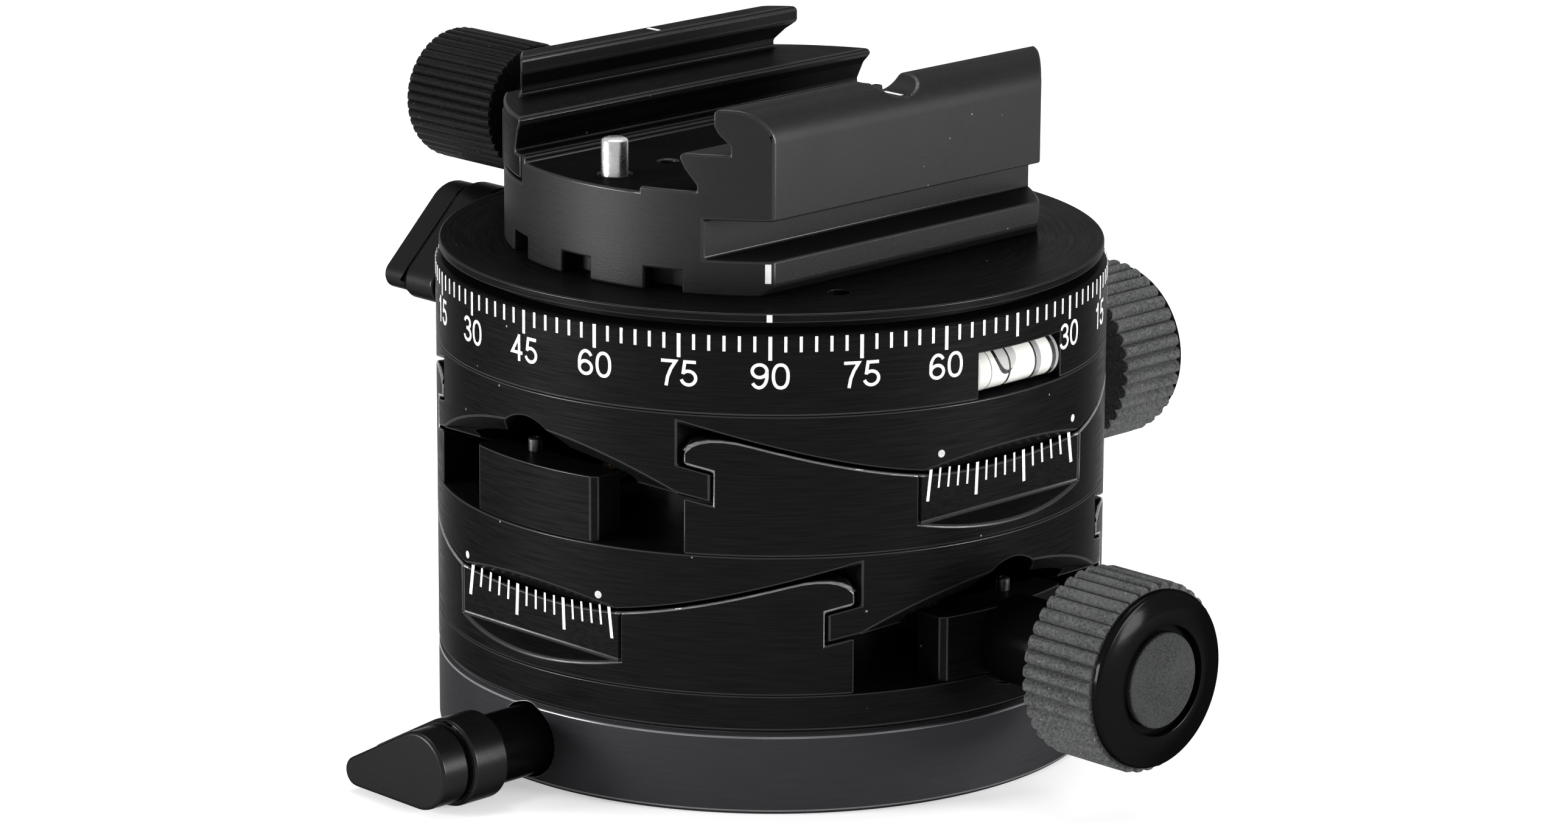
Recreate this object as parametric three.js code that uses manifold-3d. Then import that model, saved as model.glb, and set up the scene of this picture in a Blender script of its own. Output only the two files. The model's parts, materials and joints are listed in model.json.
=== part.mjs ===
// A leveling head for a camera: a panning base, two geared arc stages set at right angles,
// a panning scale ring with a spirit level, and a double dovetail clamp with a screw knob.
// Millimetres, +Z up. The origin is on the pan axis at the underside of the base.
// The clamp's rails run along Y, the lower stage tilts about Y and the upper stage about X.
import * as THREE from 'three';
import { mergeVertices } from 'three/addons/utils/BufferGeometryUtils.js';
import Module from 'manifold-3d';

const wasm = await Module();
wasm.setup();

// Counts of facets
const bodySides = 48;
const midSides = 24;
const smallSides = 12;
const tinySides = 8;
const arcSteps = 8;
const cornerSteps = 3;
const wormSides = 8;
const stepsPerTurn = 4;
const pointsPerRib = 3;

// Driving sizes that the whole head shares
const bodyRadius = 37.5;
const runningGap = 0.3;
const fitGap = 0.2;
const seamGap = 0.1;
const overrun = 2;
const rimChamfer = 0.5;

// The levers' bores set how thick the base and the scale ring are
const baseLock = { underWall: 0.7, boreRadius: 4.2, overWall: 0.2, wingAngle: THREE.MathUtils.degToRad(194) };
const panLock = { underWall: 0.25, boreRadius: 3.7, overWall: 1.4, wingAngle: THREE.MathUtils.degToRad(-30) };
baseLock.height = baseLock.underWall + baseLock.boreRadius;
panLock.rise = panLock.underWall + panLock.boreRadius;

// The pan bearings: a spigot with a V groove that a brass shoe grips
const bearingWall = 13.5;
const spigot = {
  radius: bodyRadius - bearingWall, innerRadius: 12, grooveDepth: 1.4, grooveHalf: 1.5, lip: 0.2,
};
spigot.bottom = baseLock.height - spigot.grooveHalf - spigot.lip;
spigot.floor = spigot.bottom - fitGap;

// The arc guide of one stage. The lip is the arc through the plate's ends and its lowest point,
// and the groove and the stem lie in steps below it
const arc = {
  plateWall: 18.35, lipRise: 6.86, lipCorner: 4.5, grooveStart: 3.8, grooveWidth: 3.4, grooveDepth: 2.7,
  underWall: 0.1, skirtGap: 0.4, stemGap: 0.65,
};
arc.plateInner = bodyRadius - arc.plateWall;
arc.half = Math.sqrt(bodyRadius ** 2 - arc.plateInner ** 2);
arc.lipLow = arc.grooveStart + arc.grooveWidth + arc.underWall;
arc.lipReach = (arc.half ** 2 + arc.lipRise ** 2) / (2 * arc.lipRise);
arc.axisHeight = arc.lipLow + arc.lipReach;
arc.grooveTop = arc.lipReach + arc.grooveStart;
arc.grooveBottom = arc.grooveTop + arc.grooveWidth;
arc.stemReach = arc.grooveBottom - fitGap;

// Heights of the stack, from the base up
const ringPlateHeight = 4.05;
const carriageEdge = 1.39;
const discGap = 1.1;
const discThickness = 1;
const baseHeight = baseLock.height + baseLock.boreRadius + baseLock.overWall;
const ringPlateBottom = baseHeight + seamGap;
const lowerFloor = ringPlateBottom + ringPlateHeight;
const stagePitch = arc.lipLow + arc.lipRise + carriageEdge;
const upperFloor = lowerFloor + stagePitch;
const panFloor = upperFloor + stagePitch;
const scaleTop = panFloor + panLock.rise + panLock.boreRadius + panLock.overWall;
const discBottom = scaleTop + discGap;
const discTop = discBottom + discThickness;

// The worm drive of one stage, from its cradle up to the rack
const worm = { half: 8.5, crest: 2.6, root: 2, lead: 2.1, turnsPerSide: 4 };
const rack = { half: 21, width: 7, toothDepth: 0.6, pitch: 2.1 };
const cradle = {
  width: 13, thick: 0.6, endPast: 0.6, lugGap: 1.5, lugThick: 2.4, lugWidth: 6.4, lugRise: 2.3,
};
const block = { depth: 4.9, faceHalf: 8.85, half: 9.5 };
block.height = arc.lipLow;
block.outerRadius = bodyRadius - runningGap;
block.inner = block.outerRadius - block.depth;
const bush = { radius: 2.8, flangeRadius: 3.4, flange: 1.1 };
const grub = { radius: 0.75, side: 3.2, inset: 4.5, proud: 1.4, depth: 1.6 };
grub.top = block.height + grub.proud;
const plateScrew = { along: 10, inset: 10.5, radius: 1.5, headRadius: 2.75, headHeight: 1.8,
  sink: 2.2, reach: 4.8, socket: 1.3, socketDepth: 1 };
plateScrew.across = bodyRadius - plateScrew.inset;

// The tilt knob, whose polished ring rises to the rim of a shallow recess with the cap in it
const knob = {
  collarRadius: 4.9, collarLength: 11, gripLength: 9.4, gripRadius: 10.35, ribDepth: 0.55, ribs: 38,
  coreRadius: 6, ringRadius: 9.8, ringThick: 1, ringEdge: 0.8, crown: 0.6, recessRadius: 6.2,
  recessDepth: 0.9, capGap: 0.95, capThick: 0.85, shaftInset: 1.6,
};
knob.capRadius = knob.recessRadius - knob.capGap;
knob.collarStart = block.outerRadius + runningGap;
knob.gripStart = knob.collarStart + knob.collarLength;
knob.gripEnd = knob.gripStart + knob.gripLength;
knob.ringAt = knob.gripEnd + knob.ringThick;
knob.faceAt = knob.ringAt + knob.crown;
const shaft = { radius: 1.5, farInset: 1.6, knobEnd: knob.gripStart - knob.shaftInset };
shaft.height = cradle.thick + worm.crest + runningGap;
shaft.farEnd = shaft.farInset - bodyRadius;
rack.belowLip = arc.lipLow - shaft.height - worm.crest - runningGap;
cradle.lugAt = worm.half + cradle.lugGap;
cradle.half = cradle.lugAt + cradle.lugThick + cradle.endPast;
cradle.lugTop = shaft.height + cradle.lugRise;

// Cuts in the carriage and in the side plates, with depths from the body's round
const relief = { depth: 4.9, lowDrop: 8.75, highDrop: 3.85 };
const pocket = { half: 12.5, wall: 1.8, topThick: 4.05 };
pocket.roof = stagePitch - pocket.topThick;
const notch = { radius: 5.5, rise: 3.55 };
notch.height = shaft.height + notch.rise;
const scalePocket = { half: 12.6, depth: 2.2, floor: 2.8, lip: 1.4 };
const skirtRecess = { depth: 3.3, lowDrop: 7.85, highDrop: 5.45 };

// The wing levers of the two pan locks: a wide teardrop next to the body and a narrow one outside
const lock = {
  stepDepth: 5.5, screwRadius: 3, shoeRadius: 2.9, shoeLength: 3.7, shoeReach: 0.7, tipRadius: 0.4,
  collarGap: 6.9, collarLength: 4.9, collarRadius: 4.87, collarTipRadius: 2.25,
  wingThick: 4.2, wingRadius: 4.35, wingTipRadius: 1.7, wingLength: 10.5, tenonRadius: 2.4,
  tenonLength: 3.3,
};
lock.boreStep = bodyRadius - lock.stepDepth;
lock.shoeTip = spigot.radius - lock.shoeReach;
lock.shoeOuter = lock.shoeTip + lock.shoeLength;
lock.screwEnd = lock.shoeOuter + runningGap;
lock.collarStart = bodyRadius + lock.collarGap;
lock.collarEnd = lock.collarStart + lock.collarLength;
lock.wingEnd = lock.collarEnd + lock.wingThick;
lock.tenonEnd = lock.collarStart + lock.tenonLength;

// The tripod bush in the base
const tripod = { bodyRadius: 7, flangeRadius: 9.5, flange: 1.9, boreRadius: 4.4 };

// The spirit level in the scale ring
const level = { low: -5.5, high: 7.8, backGap: 0.8, radius: 2.3, sink: 3.1, inset: 0.25 };
level.depth = level.sink + level.radius + level.backGap;
level.top = 2 * (level.radius + runningGap);

// The top disc
const disc = { inset: 0.4, hubInset: 2.7, pinHoleRadius: 1.2, pinHoleInset: 9.26, pinHoleTurn: -30 };

// The jaw's screw lies over the disc, and the clamp's channel over the screw
const jawDrive = {
  rise: 8, screwRadius: 1.9, screwGap: 0.25, screwEnd: -6.6, rodRadius: 1.6, rodSide: 8, rodEnd: -5,
};
jawDrive.height = discTop + jawDrive.rise;
jawDrive.holeRadius = jawDrive.screwRadius + jawDrive.screwGap;
const clamp = {
  radius: 29.8, flat: 21.3, floorRise: 2.7, railStep: 0.6, floorLeft: -10, floorRight: 8.5,
  grooveWall: 15.3, grooveRise: 3.9, grooveDrop: 2.5, footChamfer: 1.2,
  seatRise: 0.3, seatEdge: -11, slotHalf: 12.3, slotDrop: 3.7,
};
clamp.floor = jawDrive.height + clamp.floorRise;
clamp.rim = clamp.floor + clamp.railStep;
clamp.jawSeat = jawDrive.height + clamp.seatRise;
clamp.slotFloor = jawDrive.height - clamp.slotDrop;
clamp.grooveTop = clamp.floor - clamp.grooveDrop;
clamp.grooveFloor = discTop + clamp.grooveRise;
const castle = { count: 16, height: 2.45, depth: 2.5, width: 4.4, skipHalfAngle: 60 };
const scallop = { radius: 4.5, depth: 1.55 };
const bolt = { headRadius: 4.8, headHeight: 4, seatRise: 4.9, radius: 2.9, hexRadius: 2.3, hexDepth: 2.4 };
bolt.boreRadius = bolt.headRadius + runningGap;
bolt.seat = discTop + bolt.seatRise;
bolt.end = panFloor + panLock.rise;
const stopPin = {
  x: 0.6, endInset: 5.2, radius: 1.5, proud: 4, sunk: 4.4, wellRise: 0.6, chamfer: 0.35,
  springRadius: 1.3, springBore: 0.9,
};
stopPin.y = stopPin.endInset - clamp.radius;
stopPin.top = clamp.floor + stopPin.proud;
stopPin.foot = clamp.floor - stopPin.sunk;
stopPin.well = discTop + stopPin.wellRise;
const sideHole = { radius: 1, y: 16, depth: 4 };

// The movable jaw and its knob, which lie beyond the clamp's round
const jaw = {
  outer: -22, seatGap: 0.3, endOver: 0.6, hookInset: 1.9, bossOver: 1.7, bossUnder: 3.4, bossAbove: 3.1,
};
jaw.endRadius = clamp.radius + jaw.endOver;
jaw.hookEndRadius = clamp.radius - jaw.hookInset;
jaw.bossOuter = -clamp.radius - jaw.bossOver;
jaw.bossHalf = clamp.slotHalf - runningGap;
jaw.bossLow = jawDrive.height - jaw.bossUnder;
jaw.bossTop = jawDrive.height + jaw.bossAbove;
const clampKnob = {
  neckLength: 7.1, length: 14.3, radius: 7.65, ribDepth: 0.35, ribs: 42, neckRadius: 5, round: 0.9,
  coreRadius: 3.6, noseThick: 1.7,
};
clampKnob.start = jaw.bossOuter - clampKnob.neckLength;
clampKnob.end = clampKnob.start - clampKnob.length;
clampKnob.coreEnd = clampKnob.end + clampKnob.noseThick;

// Both jaws share one hooked outline: offsets from the channel's middle, and steps up from its rim
const hook = {
  foot: 14.6, footRise: 0.6, waist: 13.4, waistRise: 2.3, ledge: 12.9, ledgeSlope: 1.1, ledgeThick: 0.7,
  inner: 17.7, undercut: 0.9, neck: 16.6, neckRise: 1.3, tip: 16.2, tipRise: 0.9, tipThick: 1.8,
  tipChamfer: 0.3, shoulder: 3.7,
};
hook.waistHeight = clamp.rim + hook.waistRise;
hook.ledgeLow = hook.waistHeight + hook.ledgeSlope;
hook.ledgeHigh = hook.ledgeLow + hook.ledgeThick;
hook.innerHigh = hook.ledgeHigh + hook.undercut;
hook.neckHeight = hook.innerHigh + hook.neckRise;
hook.tipLow = hook.neckHeight + hook.tipRise;
clamp.top = hook.tipLow + hook.tipThick;

// Materials
function material(color, roughness, metalness) {
  return new THREE.MeshStandardMaterial({ color, roughness, metalness });
}
const blackAnodised = material(0x1b1b1d, 0.42, 0.55);
const satinBlack = material(0x202022, 0.5, 0.5);
const glossBlack = material(0x0c0c0e, 0.15, 0.3);
const rubber = material(0x2c2d2e, 0.85, 0);
const brass = material(0xb08a4a, 0.35, 0.95);
const steel = material(0xb8bbc0, 0.25, 1);
const capPaper = material(0x3a3b3c, 0.8, 0);
const vialClear = new THREE.MeshStandardMaterial({ color: 0xeef2e2, roughness: 0.08, metalness: 0 });

const quarterTurn = Math.PI / 2;
const head = new THREE.Group();

// Solids from three.js geometry, joined and cut with manifold-3d
function solid(geometry) {
  const bare = geometry.index ? geometry.toNonIndexed() : geometry.clone();
  bare.deleteAttribute('normal');
  bare.deleteAttribute('uv');
  const merged = mergeVertices(bare, 1e-5);
  const index = merged.index.array;
  const kept = [];
  for (let i = 0; i < index.length; i += 3) {
    const [a, b, c] = [index[i], index[i + 1], index[i + 2]];
    if (a !== b && b !== c && c !== a) kept.push(a, b, c);
  }
  const mesh = new wasm.Mesh({
    numProp: 3,
    vertProperties: new Float32Array(merged.attributes.position.array),
    triVerts: new Uint32Array(kept),
  });
  return new wasm.Manifold(mesh);
}

function addMesh(parent, name, body, finish) {
  const mesh = body.getMesh();
  const geometry = new THREE.BufferGeometry();
  const count = mesh.numProp;
  const places = new Float32Array((mesh.vertProperties.length / count) * 3);
  for (let i = 0; i < places.length / 3; i += 1) {
    for (let k = 0; k < 3; k += 1) places[i * 3 + k] = mesh.vertProperties[i * count + k];
  }
  geometry.setAttribute('position', new THREE.BufferAttribute(places, 3));
  geometry.setIndex(new THREE.BufferAttribute(new Uint32Array(mesh.triVerts), 1));
  geometry.computeVertexNormals();
  const node = new THREE.Mesh(geometry, finish);
  node.name = name;
  parent.add(node);
  return node;
}

// A flat outline pushed along one axis between two places
function prism(outline, axis, from, to, steps = arcSteps) {
  const geometry = new THREE.ExtrudeGeometry(outline, {
    depth: to - from, bevelEnabled: false, curveSegments: steps,
  });
  if (axis === 'z') geometry.translate(0, 0, from);
  if (axis === 'y') geometry.rotateX(Math.PI / 2).translate(0, to, 0);
  if (axis === 'x') {
    const turn = new THREE.Matrix4().makeBasis(
      new THREE.Vector3(0, 1, 0), new THREE.Vector3(0, 0, 1), new THREE.Vector3(1, 0, 0));
    geometry.applyMatrix4(turn).translate(from, 0, 0);
  }
  return solid(geometry);
}

function outlineOf(points) {
  return new THREE.Shape(points.map(([x, y]) => new THREE.Vector2(x, y)));
}

function boxBetween(low, high) {
  const outline = outlineOf([[low[0], low[1]], [high[0], low[1]], [high[0], high[1]], [low[0], high[1]]]);
  return prism(outline, 'z', low[2], high[2]);
}

// A turned piece about Z, from [radius, height] points that start and end on the axis
function turned(points, sides) {
  const profile = points.map(([r, z]) => new THREE.Vector2(r, z));
  return solid(new THREE.LatheGeometry(profile, sides).rotateX(Math.PI / 2));
}

// The same turned piece laid along +X, where heights become places along X
function turnedAlongX(points, sides) {
  const profile = points.map(([r, x]) => new THREE.Vector2(r, x));
  return solid(new THREE.LatheGeometry(profile, sides).rotateX(Math.PI / 2).rotateY(Math.PI / 2));
}

function rod(radius, low, high, sides) {
  return turned([[0, low], [radius, low], [radius, high], [0, high]], sides);
}

function rodAlongX(radius, from, to, sides) {
  return turnedAlongX([[0, from], [radius, from], [radius, to], [0, to]], sides);
}

function joined(first, ...others) {
  return others.reduce((sum, next) => sum.add(next), first);
}

function cut(first, ...others) {
  return others.reduce((sum, next) => sum.subtract(next), first);
}

// A round body slice with chamfered rims
function slice(radius, low, high, lowChamfer, highChamfer) {
  return turned([
    [0, low], [radius - lowChamfer, low], [radius, low + lowChamfer],
    [radius, high - highChamfer], [radius - highChamfer, high], [0, high],
  ], bodySides);
}

// A spigot that hangs from a plate, with its V groove at one height
function spigotRing(top, bottom, grooveHeight, innerRadius) {
  const { radius, grooveDepth, grooveHalf } = spigot;
  const outer = turned([
    [0, bottom], [radius, bottom], [radius, grooveHeight - grooveHalf],
    [radius - grooveDepth, grooveHeight], [radius, grooveHeight + grooveHalf], [radius, top], [0, top],
  ], bodySides);
  if (innerRadius === 0) return outer;
  return cut(outer, rod(innerRadius, bottom - overrun, top + overrun, midSides));
}

// The lock of a pan bearing, along +X from the pan axis: shaft, brass shoe and wing lever
function teardrop(radius, tipRadius, length, angle) {
  const lean = Math.acos((radius - tipRadius) / length);
  const shape = new THREE.Shape();
  shape.absarc(0, 0, radius, angle + lean, angle + 2 * Math.PI - lean, false);
  const [tipX, tipY] = [length * Math.cos(angle), length * Math.sin(angle)];
  shape.absarc(tipX, tipY, tipRadius, angle - lean, angle + lean, false);
  return shape;
}

function lockBore(boreRadius) {
  return joined(
    rodAlongX(boreRadius, lock.boreStep, bodyRadius + overrun, smallSides),
    rodAlongX(lock.screwRadius + fitGap, spigot.radius - overrun, lock.boreStep + overrun, smallSides));
}

function addLock(prefix, height, turn, { boreRadius, wingAngle }) {
  const group = new THREE.Group();
  group.position.z = height;
  group.rotation.z = turn;
  head.add(group);
  const shaftRadius = boreRadius - runningGap;
  const shaftBody = turnedAlongX([
    [0, lock.screwEnd], [lock.screwRadius, lock.screwEnd], [lock.screwRadius, lock.boreStep + fitGap],
    [shaftRadius, lock.boreStep + fitGap], [shaftRadius, lock.collarStart],
    [lock.tenonRadius, lock.collarStart], [lock.tenonRadius, lock.tenonEnd], [0, lock.tenonEnd],
  ], smallSides);
  addMesh(group, `${prefix}_lock_shaft`, shaftBody, glossBlack);
  const shoeSlope = lock.shoeRadius - lock.tipRadius;
  const shoe = turnedAlongX([
    [0, lock.shoeTip], [lock.tipRadius, lock.shoeTip], [lock.shoeRadius, lock.shoeTip + shoeSlope],
    [lock.shoeRadius, lock.shoeOuter], [0, lock.shoeOuter],
  ], smallSides);
  addMesh(group, `${prefix}_lock_shoe`, shoe, brass);
  const collar = prism(teardrop(lock.collarRadius, lock.collarTipRadius, lock.wingLength, wingAngle),
    'x', lock.collarStart, lock.collarEnd, smallSides);
  const wing = prism(teardrop(lock.wingRadius, lock.wingTipRadius, lock.wingLength, wingAngle),
    'x', lock.collarEnd - rimChamfer, lock.wingEnd, smallSides);
  const socket = rodAlongX(lock.tenonRadius + fitGap, lock.collarStart - overrun,
    lock.tenonEnd + fitGap, smallSides);
  addMesh(group, `${prefix}_lock_lever`, cut(joined(collar, wing), socket), satinBlack);
}

// The base: a disc with a recess for the turntable's spigot, and the tripod bush
function addBase() {
  const recess = rod(spigot.radius + runningGap, spigot.floor, baseHeight + overrun, bodySides);
  const bushHole = rod(tripod.bodyRadius + fitGap, -overrun, spigot.floor + overrun, midSides);
  const bore = lockBore(baseLock.boreRadius).rotate([0, 0, -90]).translate([0, 0, baseLock.height]);
  const baseDisc = cut(slice(bodyRadius, 0, baseHeight, rimChamfer, rimChamfer), recess, bushHole, bore);
  addMesh(head, 'base_disc', baseDisc, blackAnodised);
  const flangeTop = spigot.floor + tripod.flange;
  const body = turned([
    [0, fitGap], [tripod.bodyRadius, fitGap], [tripod.bodyRadius, spigot.floor],
    [tripod.flangeRadius, spigot.floor], [tripod.flangeRadius, flangeTop], [0, flangeTop],
  ], midSides);
  const bushBore = rod(tripod.boreRadius, -overrun, flangeTop + overrun, midSides);
  addMesh(head, 'tripod_bush', cut(body, bushBore), steel);
  addLock('base', baseLock.height, -quarterTurn, baseLock);
}

// Arc outlines in the plane of a stage's channel, where x runs along it and y is height
function arcAngle(reach, half) {
  return Math.asin(Math.min(1, half / reach));
}

function aboveArc(reach, half, top) {
  const lean = arcAngle(reach, half);
  const shape = new THREE.Shape();
  shape.absarc(0, arc.axisHeight, reach, -Math.PI / 2 - lean, -Math.PI / 2 + lean, false);
  shape.lineTo(half, top);
  shape.lineTo(-half, top);
  return shape;
}

function arcBand(inner, outer, half) {
  const lean = arcAngle(outer, half);
  const shape = new THREE.Shape();
  shape.absarc(0, arc.axisHeight, outer, -Math.PI / 2 - lean, -Math.PI / 2 + lean, false);
  shape.absarc(0, arc.axisHeight, inner, -Math.PI / 2 + lean, -Math.PI / 2 - lean, true);
  return shape;
}

function arcHeight(reach, along) {
  return arc.axisHeight - Math.sqrt(reach * reach - along * along);
}

// The side plate's outline under its lip, with rounded lip ends
function plateOutline() {
  const { half } = arc;
  const cornerAt = half - arc.lipCorner;
  const lean = arcAngle(arc.lipReach, cornerAt);
  const endHeight = arc.lipLow + arc.lipRise;
  const shape = new THREE.Shape();
  shape.moveTo(-half - overrun, 0);
  shape.lineTo(half + overrun, 0);
  shape.lineTo(half + overrun, endHeight - arc.lipCorner);
  shape.lineTo(half, endHeight - arc.lipCorner);
  shape.quadraticCurveTo(half, endHeight, cornerAt, arcHeight(arc.lipReach, cornerAt));
  shape.absarc(0, arc.axisHeight, arc.lipReach, -Math.PI / 2 + lean, -Math.PI / 2 - lean, true);
  shape.quadraticCurveTo(-half, endHeight, -half, endHeight - arc.lipCorner);
  shape.lineTo(-half - overrun, endHeight - arc.lipCorner);
  return shape;
}

function sidePlate(side) {
  const round = rod(bodyRadius, 0, stagePitch, bodySides);
  const wall = prism(plateOutline(), 'y', arc.plateInner, bodyRadius + overrun).intersect(round);
  const groove = prism(arcBand(arc.grooveTop, arc.grooveBottom, bodyRadius), 'y',
    arc.plateInner - overrun, arc.plateInner + arc.grooveDepth);
  const slope = (scalePocket.floor - scalePocket.lip) / scalePocket.depth;
  const flat = bodyRadius - scalePocket.depth;
  const outside = bodyRadius + overrun;
  const window = prism(outlineOf([
    [flat, scalePocket.floor], [outside, scalePocket.floor - slope * (outside - flat)],
    [outside, stagePitch], [flat, stagePitch],
  ]), 'x', -scalePocket.half, scalePocket.half);
  let plate = cut(wall, groove, window);
  for (const along of [-plateScrew.along, plateScrew.along]) {
    const hole = rod(plateScrew.radius + fitGap, -overrun, plateScrew.reach + fitGap, tinySides);
    plate = cut(plate, hole.translate([along, plateScrew.across, 0]));
  }
  return side > 0 ? plate : plate.rotate([0, 0, 180]);
}

// A place on both sides of both axes
function fourPlaces(along, across) {
  return [[-along, -across], [along, -across], [along, across], [-along, across]];
}

// Counterbored holes in the plate that carries a stage, measured down from its floor
function carrierHoles(under) {
  const hole = joined(
    rod(plateScrew.radius + fitGap, under - overrun, overrun, tinySides),
    rod(plateScrew.headRadius + fitGap, under - overrun, under + plateScrew.sink, smallSides));
  const places = fourPlaces(plateScrew.along, plateScrew.across);
  return joined(...places.map(([x, y]) => hole.translate([x, y, 0])));
}

function addPlateScrews(group, prefix, under) {
  const headLow = under + plateScrew.sink - plateScrew.headHeight;
  const headTop = under + plateScrew.sink;
  fourPlaces(plateScrew.along, plateScrew.across).forEach(([x, y], i) => {
    const body = turned([
      [0, headLow], [plateScrew.headRadius, headLow], [plateScrew.headRadius, headTop],
      [plateScrew.radius, headTop], [plateScrew.radius, plateScrew.reach], [0, plateScrew.reach],
    ], tinySides);
    const key = rod(plateScrew.socket, headLow - overrun, headLow + plateScrew.socketDepth, 6);
    addMesh(group, `${prefix}_plate_screw_${i + 1}`, cut(body, key).translate([x, y, 0]), steel);
  });
}

// The bearing block at one end of the channel, with its curved outer face between two bevels
function endBlock() {
  const faceLean = Math.asin(block.faceHalf / block.outerRadius);
  const bevelEnd = block.outerRadius * Math.cos(faceLean) - (block.half - block.faceHalf);
  const shape = new THREE.Shape();
  shape.moveTo(block.inner, -block.half);
  shape.lineTo(bevelEnd, -block.half);
  shape.absarc(0, 0, block.outerRadius, -faceLean, faceLean, false);
  shape.lineTo(bevelEnd, block.half);
  shape.lineTo(block.inner, block.half);
  return prism(shape, 'z', 0, block.height, cornerSteps * 2);
}

function grubHole() {
  return rod(grub.radius + fitGap, block.height - grub.depth, block.height + overrun, tinySides)
    .translate([bodyRadius - grub.inset, grub.side, 0]);
}

function addGrub(group, name, side) {
  const body = rod(grub.radius, block.height - grub.depth, grub.top, tinySides);
  addMesh(group, name, body.translate([side * (bodyRadius - grub.inset), grub.side, 0]), steel);
}

// The worm as one closed skin, whose thread is a ripple that climbs as it goes round
function wormSkin() {
  const aroundSteps = wormSides;
  const turns = worm.turnsPerSide * 2;
  const alongSteps = turns * stepsPerTurn;
  const places = [];
  const faces = [];
  const ring = (x, radiusAt) => {
    for (let i = 0; i < aroundSteps; i += 1) {
      const angle = (2 * Math.PI * i) / aroundSteps;
      const radius = radiusAt(angle);
      places.push(x, radius * Math.cos(angle), radius * Math.sin(angle));
    }
  };
  const plain = () => shaft.radius;
  const threaded = (x) => (angle) => {
    const phase = (x / worm.lead - angle / (2 * Math.PI)) % 1;
    const wave = Math.abs(((phase + 1) % 1) * 2 - 1);
    return worm.root + (worm.crest - worm.root) * wave;
  };
  const stops = [[shaft.farEnd, plain], [-worm.half, plain]];
  for (let i = 0; i <= alongSteps; i += 1) {
    const x = -worm.half + (2 * worm.half * i) / alongSteps;
    stops.push([x, threaded(x)]);
  }
  stops.push([worm.half, plain], [shaft.knobEnd, plain]);
  stops.forEach(([x, radiusAt]) => ring(x, radiusAt));
  for (let s = 0; s < stops.length - 1; s += 1) {
    for (let i = 0; i < aroundSteps; i += 1) {
      const next = (i + 1) % aroundSteps;
      const [a, b] = [s * aroundSteps + i, s * aroundSteps + next];
      const [c, d] = [a + aroundSteps, b + aroundSteps];
      faces.push(a, b, d, a, d, c);
    }
  }
  const last = (stops.length - 1) * aroundSteps;
  for (let i = 1; i < aroundSteps - 1; i += 1) {
    faces.push(0, i + 1, i);
    faces.push(last, last + i, last + i + 1);
  }
  const mesh = new wasm.Mesh({
    numProp: 3, vertProperties: new Float32Array(places), triVerts: new Uint32Array(faces),
  });
  return new wasm.Manifold(mesh);
}

// The toothed sector under the carriage, with its teeth round the tilt axis
function rackSector() {
  const tipReach = arc.lipReach + rack.belowLip;
  const lean = arcAngle(tipReach, rack.half);
  const teeth = Math.floor((2 * lean * tipReach) / rack.pitch);
  const rootReach = tipReach - rack.toothDepth;
  const points = [];
  for (let i = 0; i <= teeth * 2; i += 1) {
    const angle = -Math.PI / 2 - lean + (2 * lean * i) / (teeth * 2);
    const reach = i % 2 === 1 ? tipReach : rootReach;
    points.push([reach * Math.cos(angle), arc.axisHeight + reach * Math.sin(angle)]);
  }
  points.push([points[points.length - 1][0], pocket.roof], [points[0][0], pocket.roof]);
  return prism(outlineOf(points), 'y', -rack.width / 2, rack.width / 2);
}

function wormCradle() {
  const { half, lugAt } = cradle;
  const plate = boxBetween([-half, -cradle.width / 2, 0], [half, cradle.width / 2, cradle.thick]);
  const lug = boxBetween([lugAt, -cradle.lugWidth / 2, 0],
    [lugAt + cradle.lugThick, cradle.lugWidth / 2, cradle.lugTop]);
  const bore = rodAlongX(shaft.radius + runningGap, -half - overrun, half + overrun, smallSides)
    .translate([0, 0, shaft.height]);
  return cut(joined(plate, lug, lug.mirror([1, 0, 0])), bore);
}

// A ribbed sleeve along +X
function ribbedSleeve(radius, depth, ribs, boreRadius, from, to) {
  const points = [];
  for (let i = 0; i < ribs * pointsPerRib; i += 1) {
    const angle = (2 * Math.PI * i) / (ribs * pointsPerRib);
    const dip = depth * Math.pow(Math.sin((Math.PI * i) / pointsPerRib + Math.PI / pointsPerRib / 2), 8);
    points.push([(radius - dip) * Math.cos(angle), (radius - dip) * Math.sin(angle)]);
  }
  const body = prism(outlineOf(points), 'x', from, to);
  return cut(body, rodAlongX(boreRadius, from - overrun, to + overrun, midSides));
}

function addTiltKnob(group, prefix) {
  const bore = rodAlongX(shaft.radius + fitGap, knob.collarStart - overrun, shaft.knobEnd + fitGap,
    smallSides);
  const capLow = knob.faceAt - knob.recessDepth;
  const hub = turnedAlongX([
    [0, knob.collarStart], [knob.collarRadius, knob.collarStart], [knob.collarRadius, knob.gripStart],
    [knob.coreRadius, knob.gripStart], [knob.coreRadius, knob.gripEnd + fitGap],
    [knob.ringRadius, knob.gripEnd + fitGap], [knob.ringRadius, knob.ringAt - knob.ringEdge / 2],
    [knob.ringRadius - knob.ringEdge, knob.ringAt], [knob.recessRadius, knob.faceAt],
    [knob.recessRadius, capLow], [0, capLow],
  ], midSides);
  const place = (body) => body.translate([0, 0, shaft.height]);
  addMesh(group, `${prefix}_knob_hub`, place(cut(hub, bore)), glossBlack);
  const grip = ribbedSleeve(knob.gripRadius, knob.ribDepth, knob.ribs, knob.coreRadius + fitGap,
    knob.gripStart, knob.gripEnd);
  addMesh(group, `${prefix}_knob_grip`, place(grip), rubber);
  addMesh(group, `${prefix}_knob_cap`,
    place(rodAlongX(knob.capRadius, capLow, capLow + knob.capThick, midSides)), capPaper);
}

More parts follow.
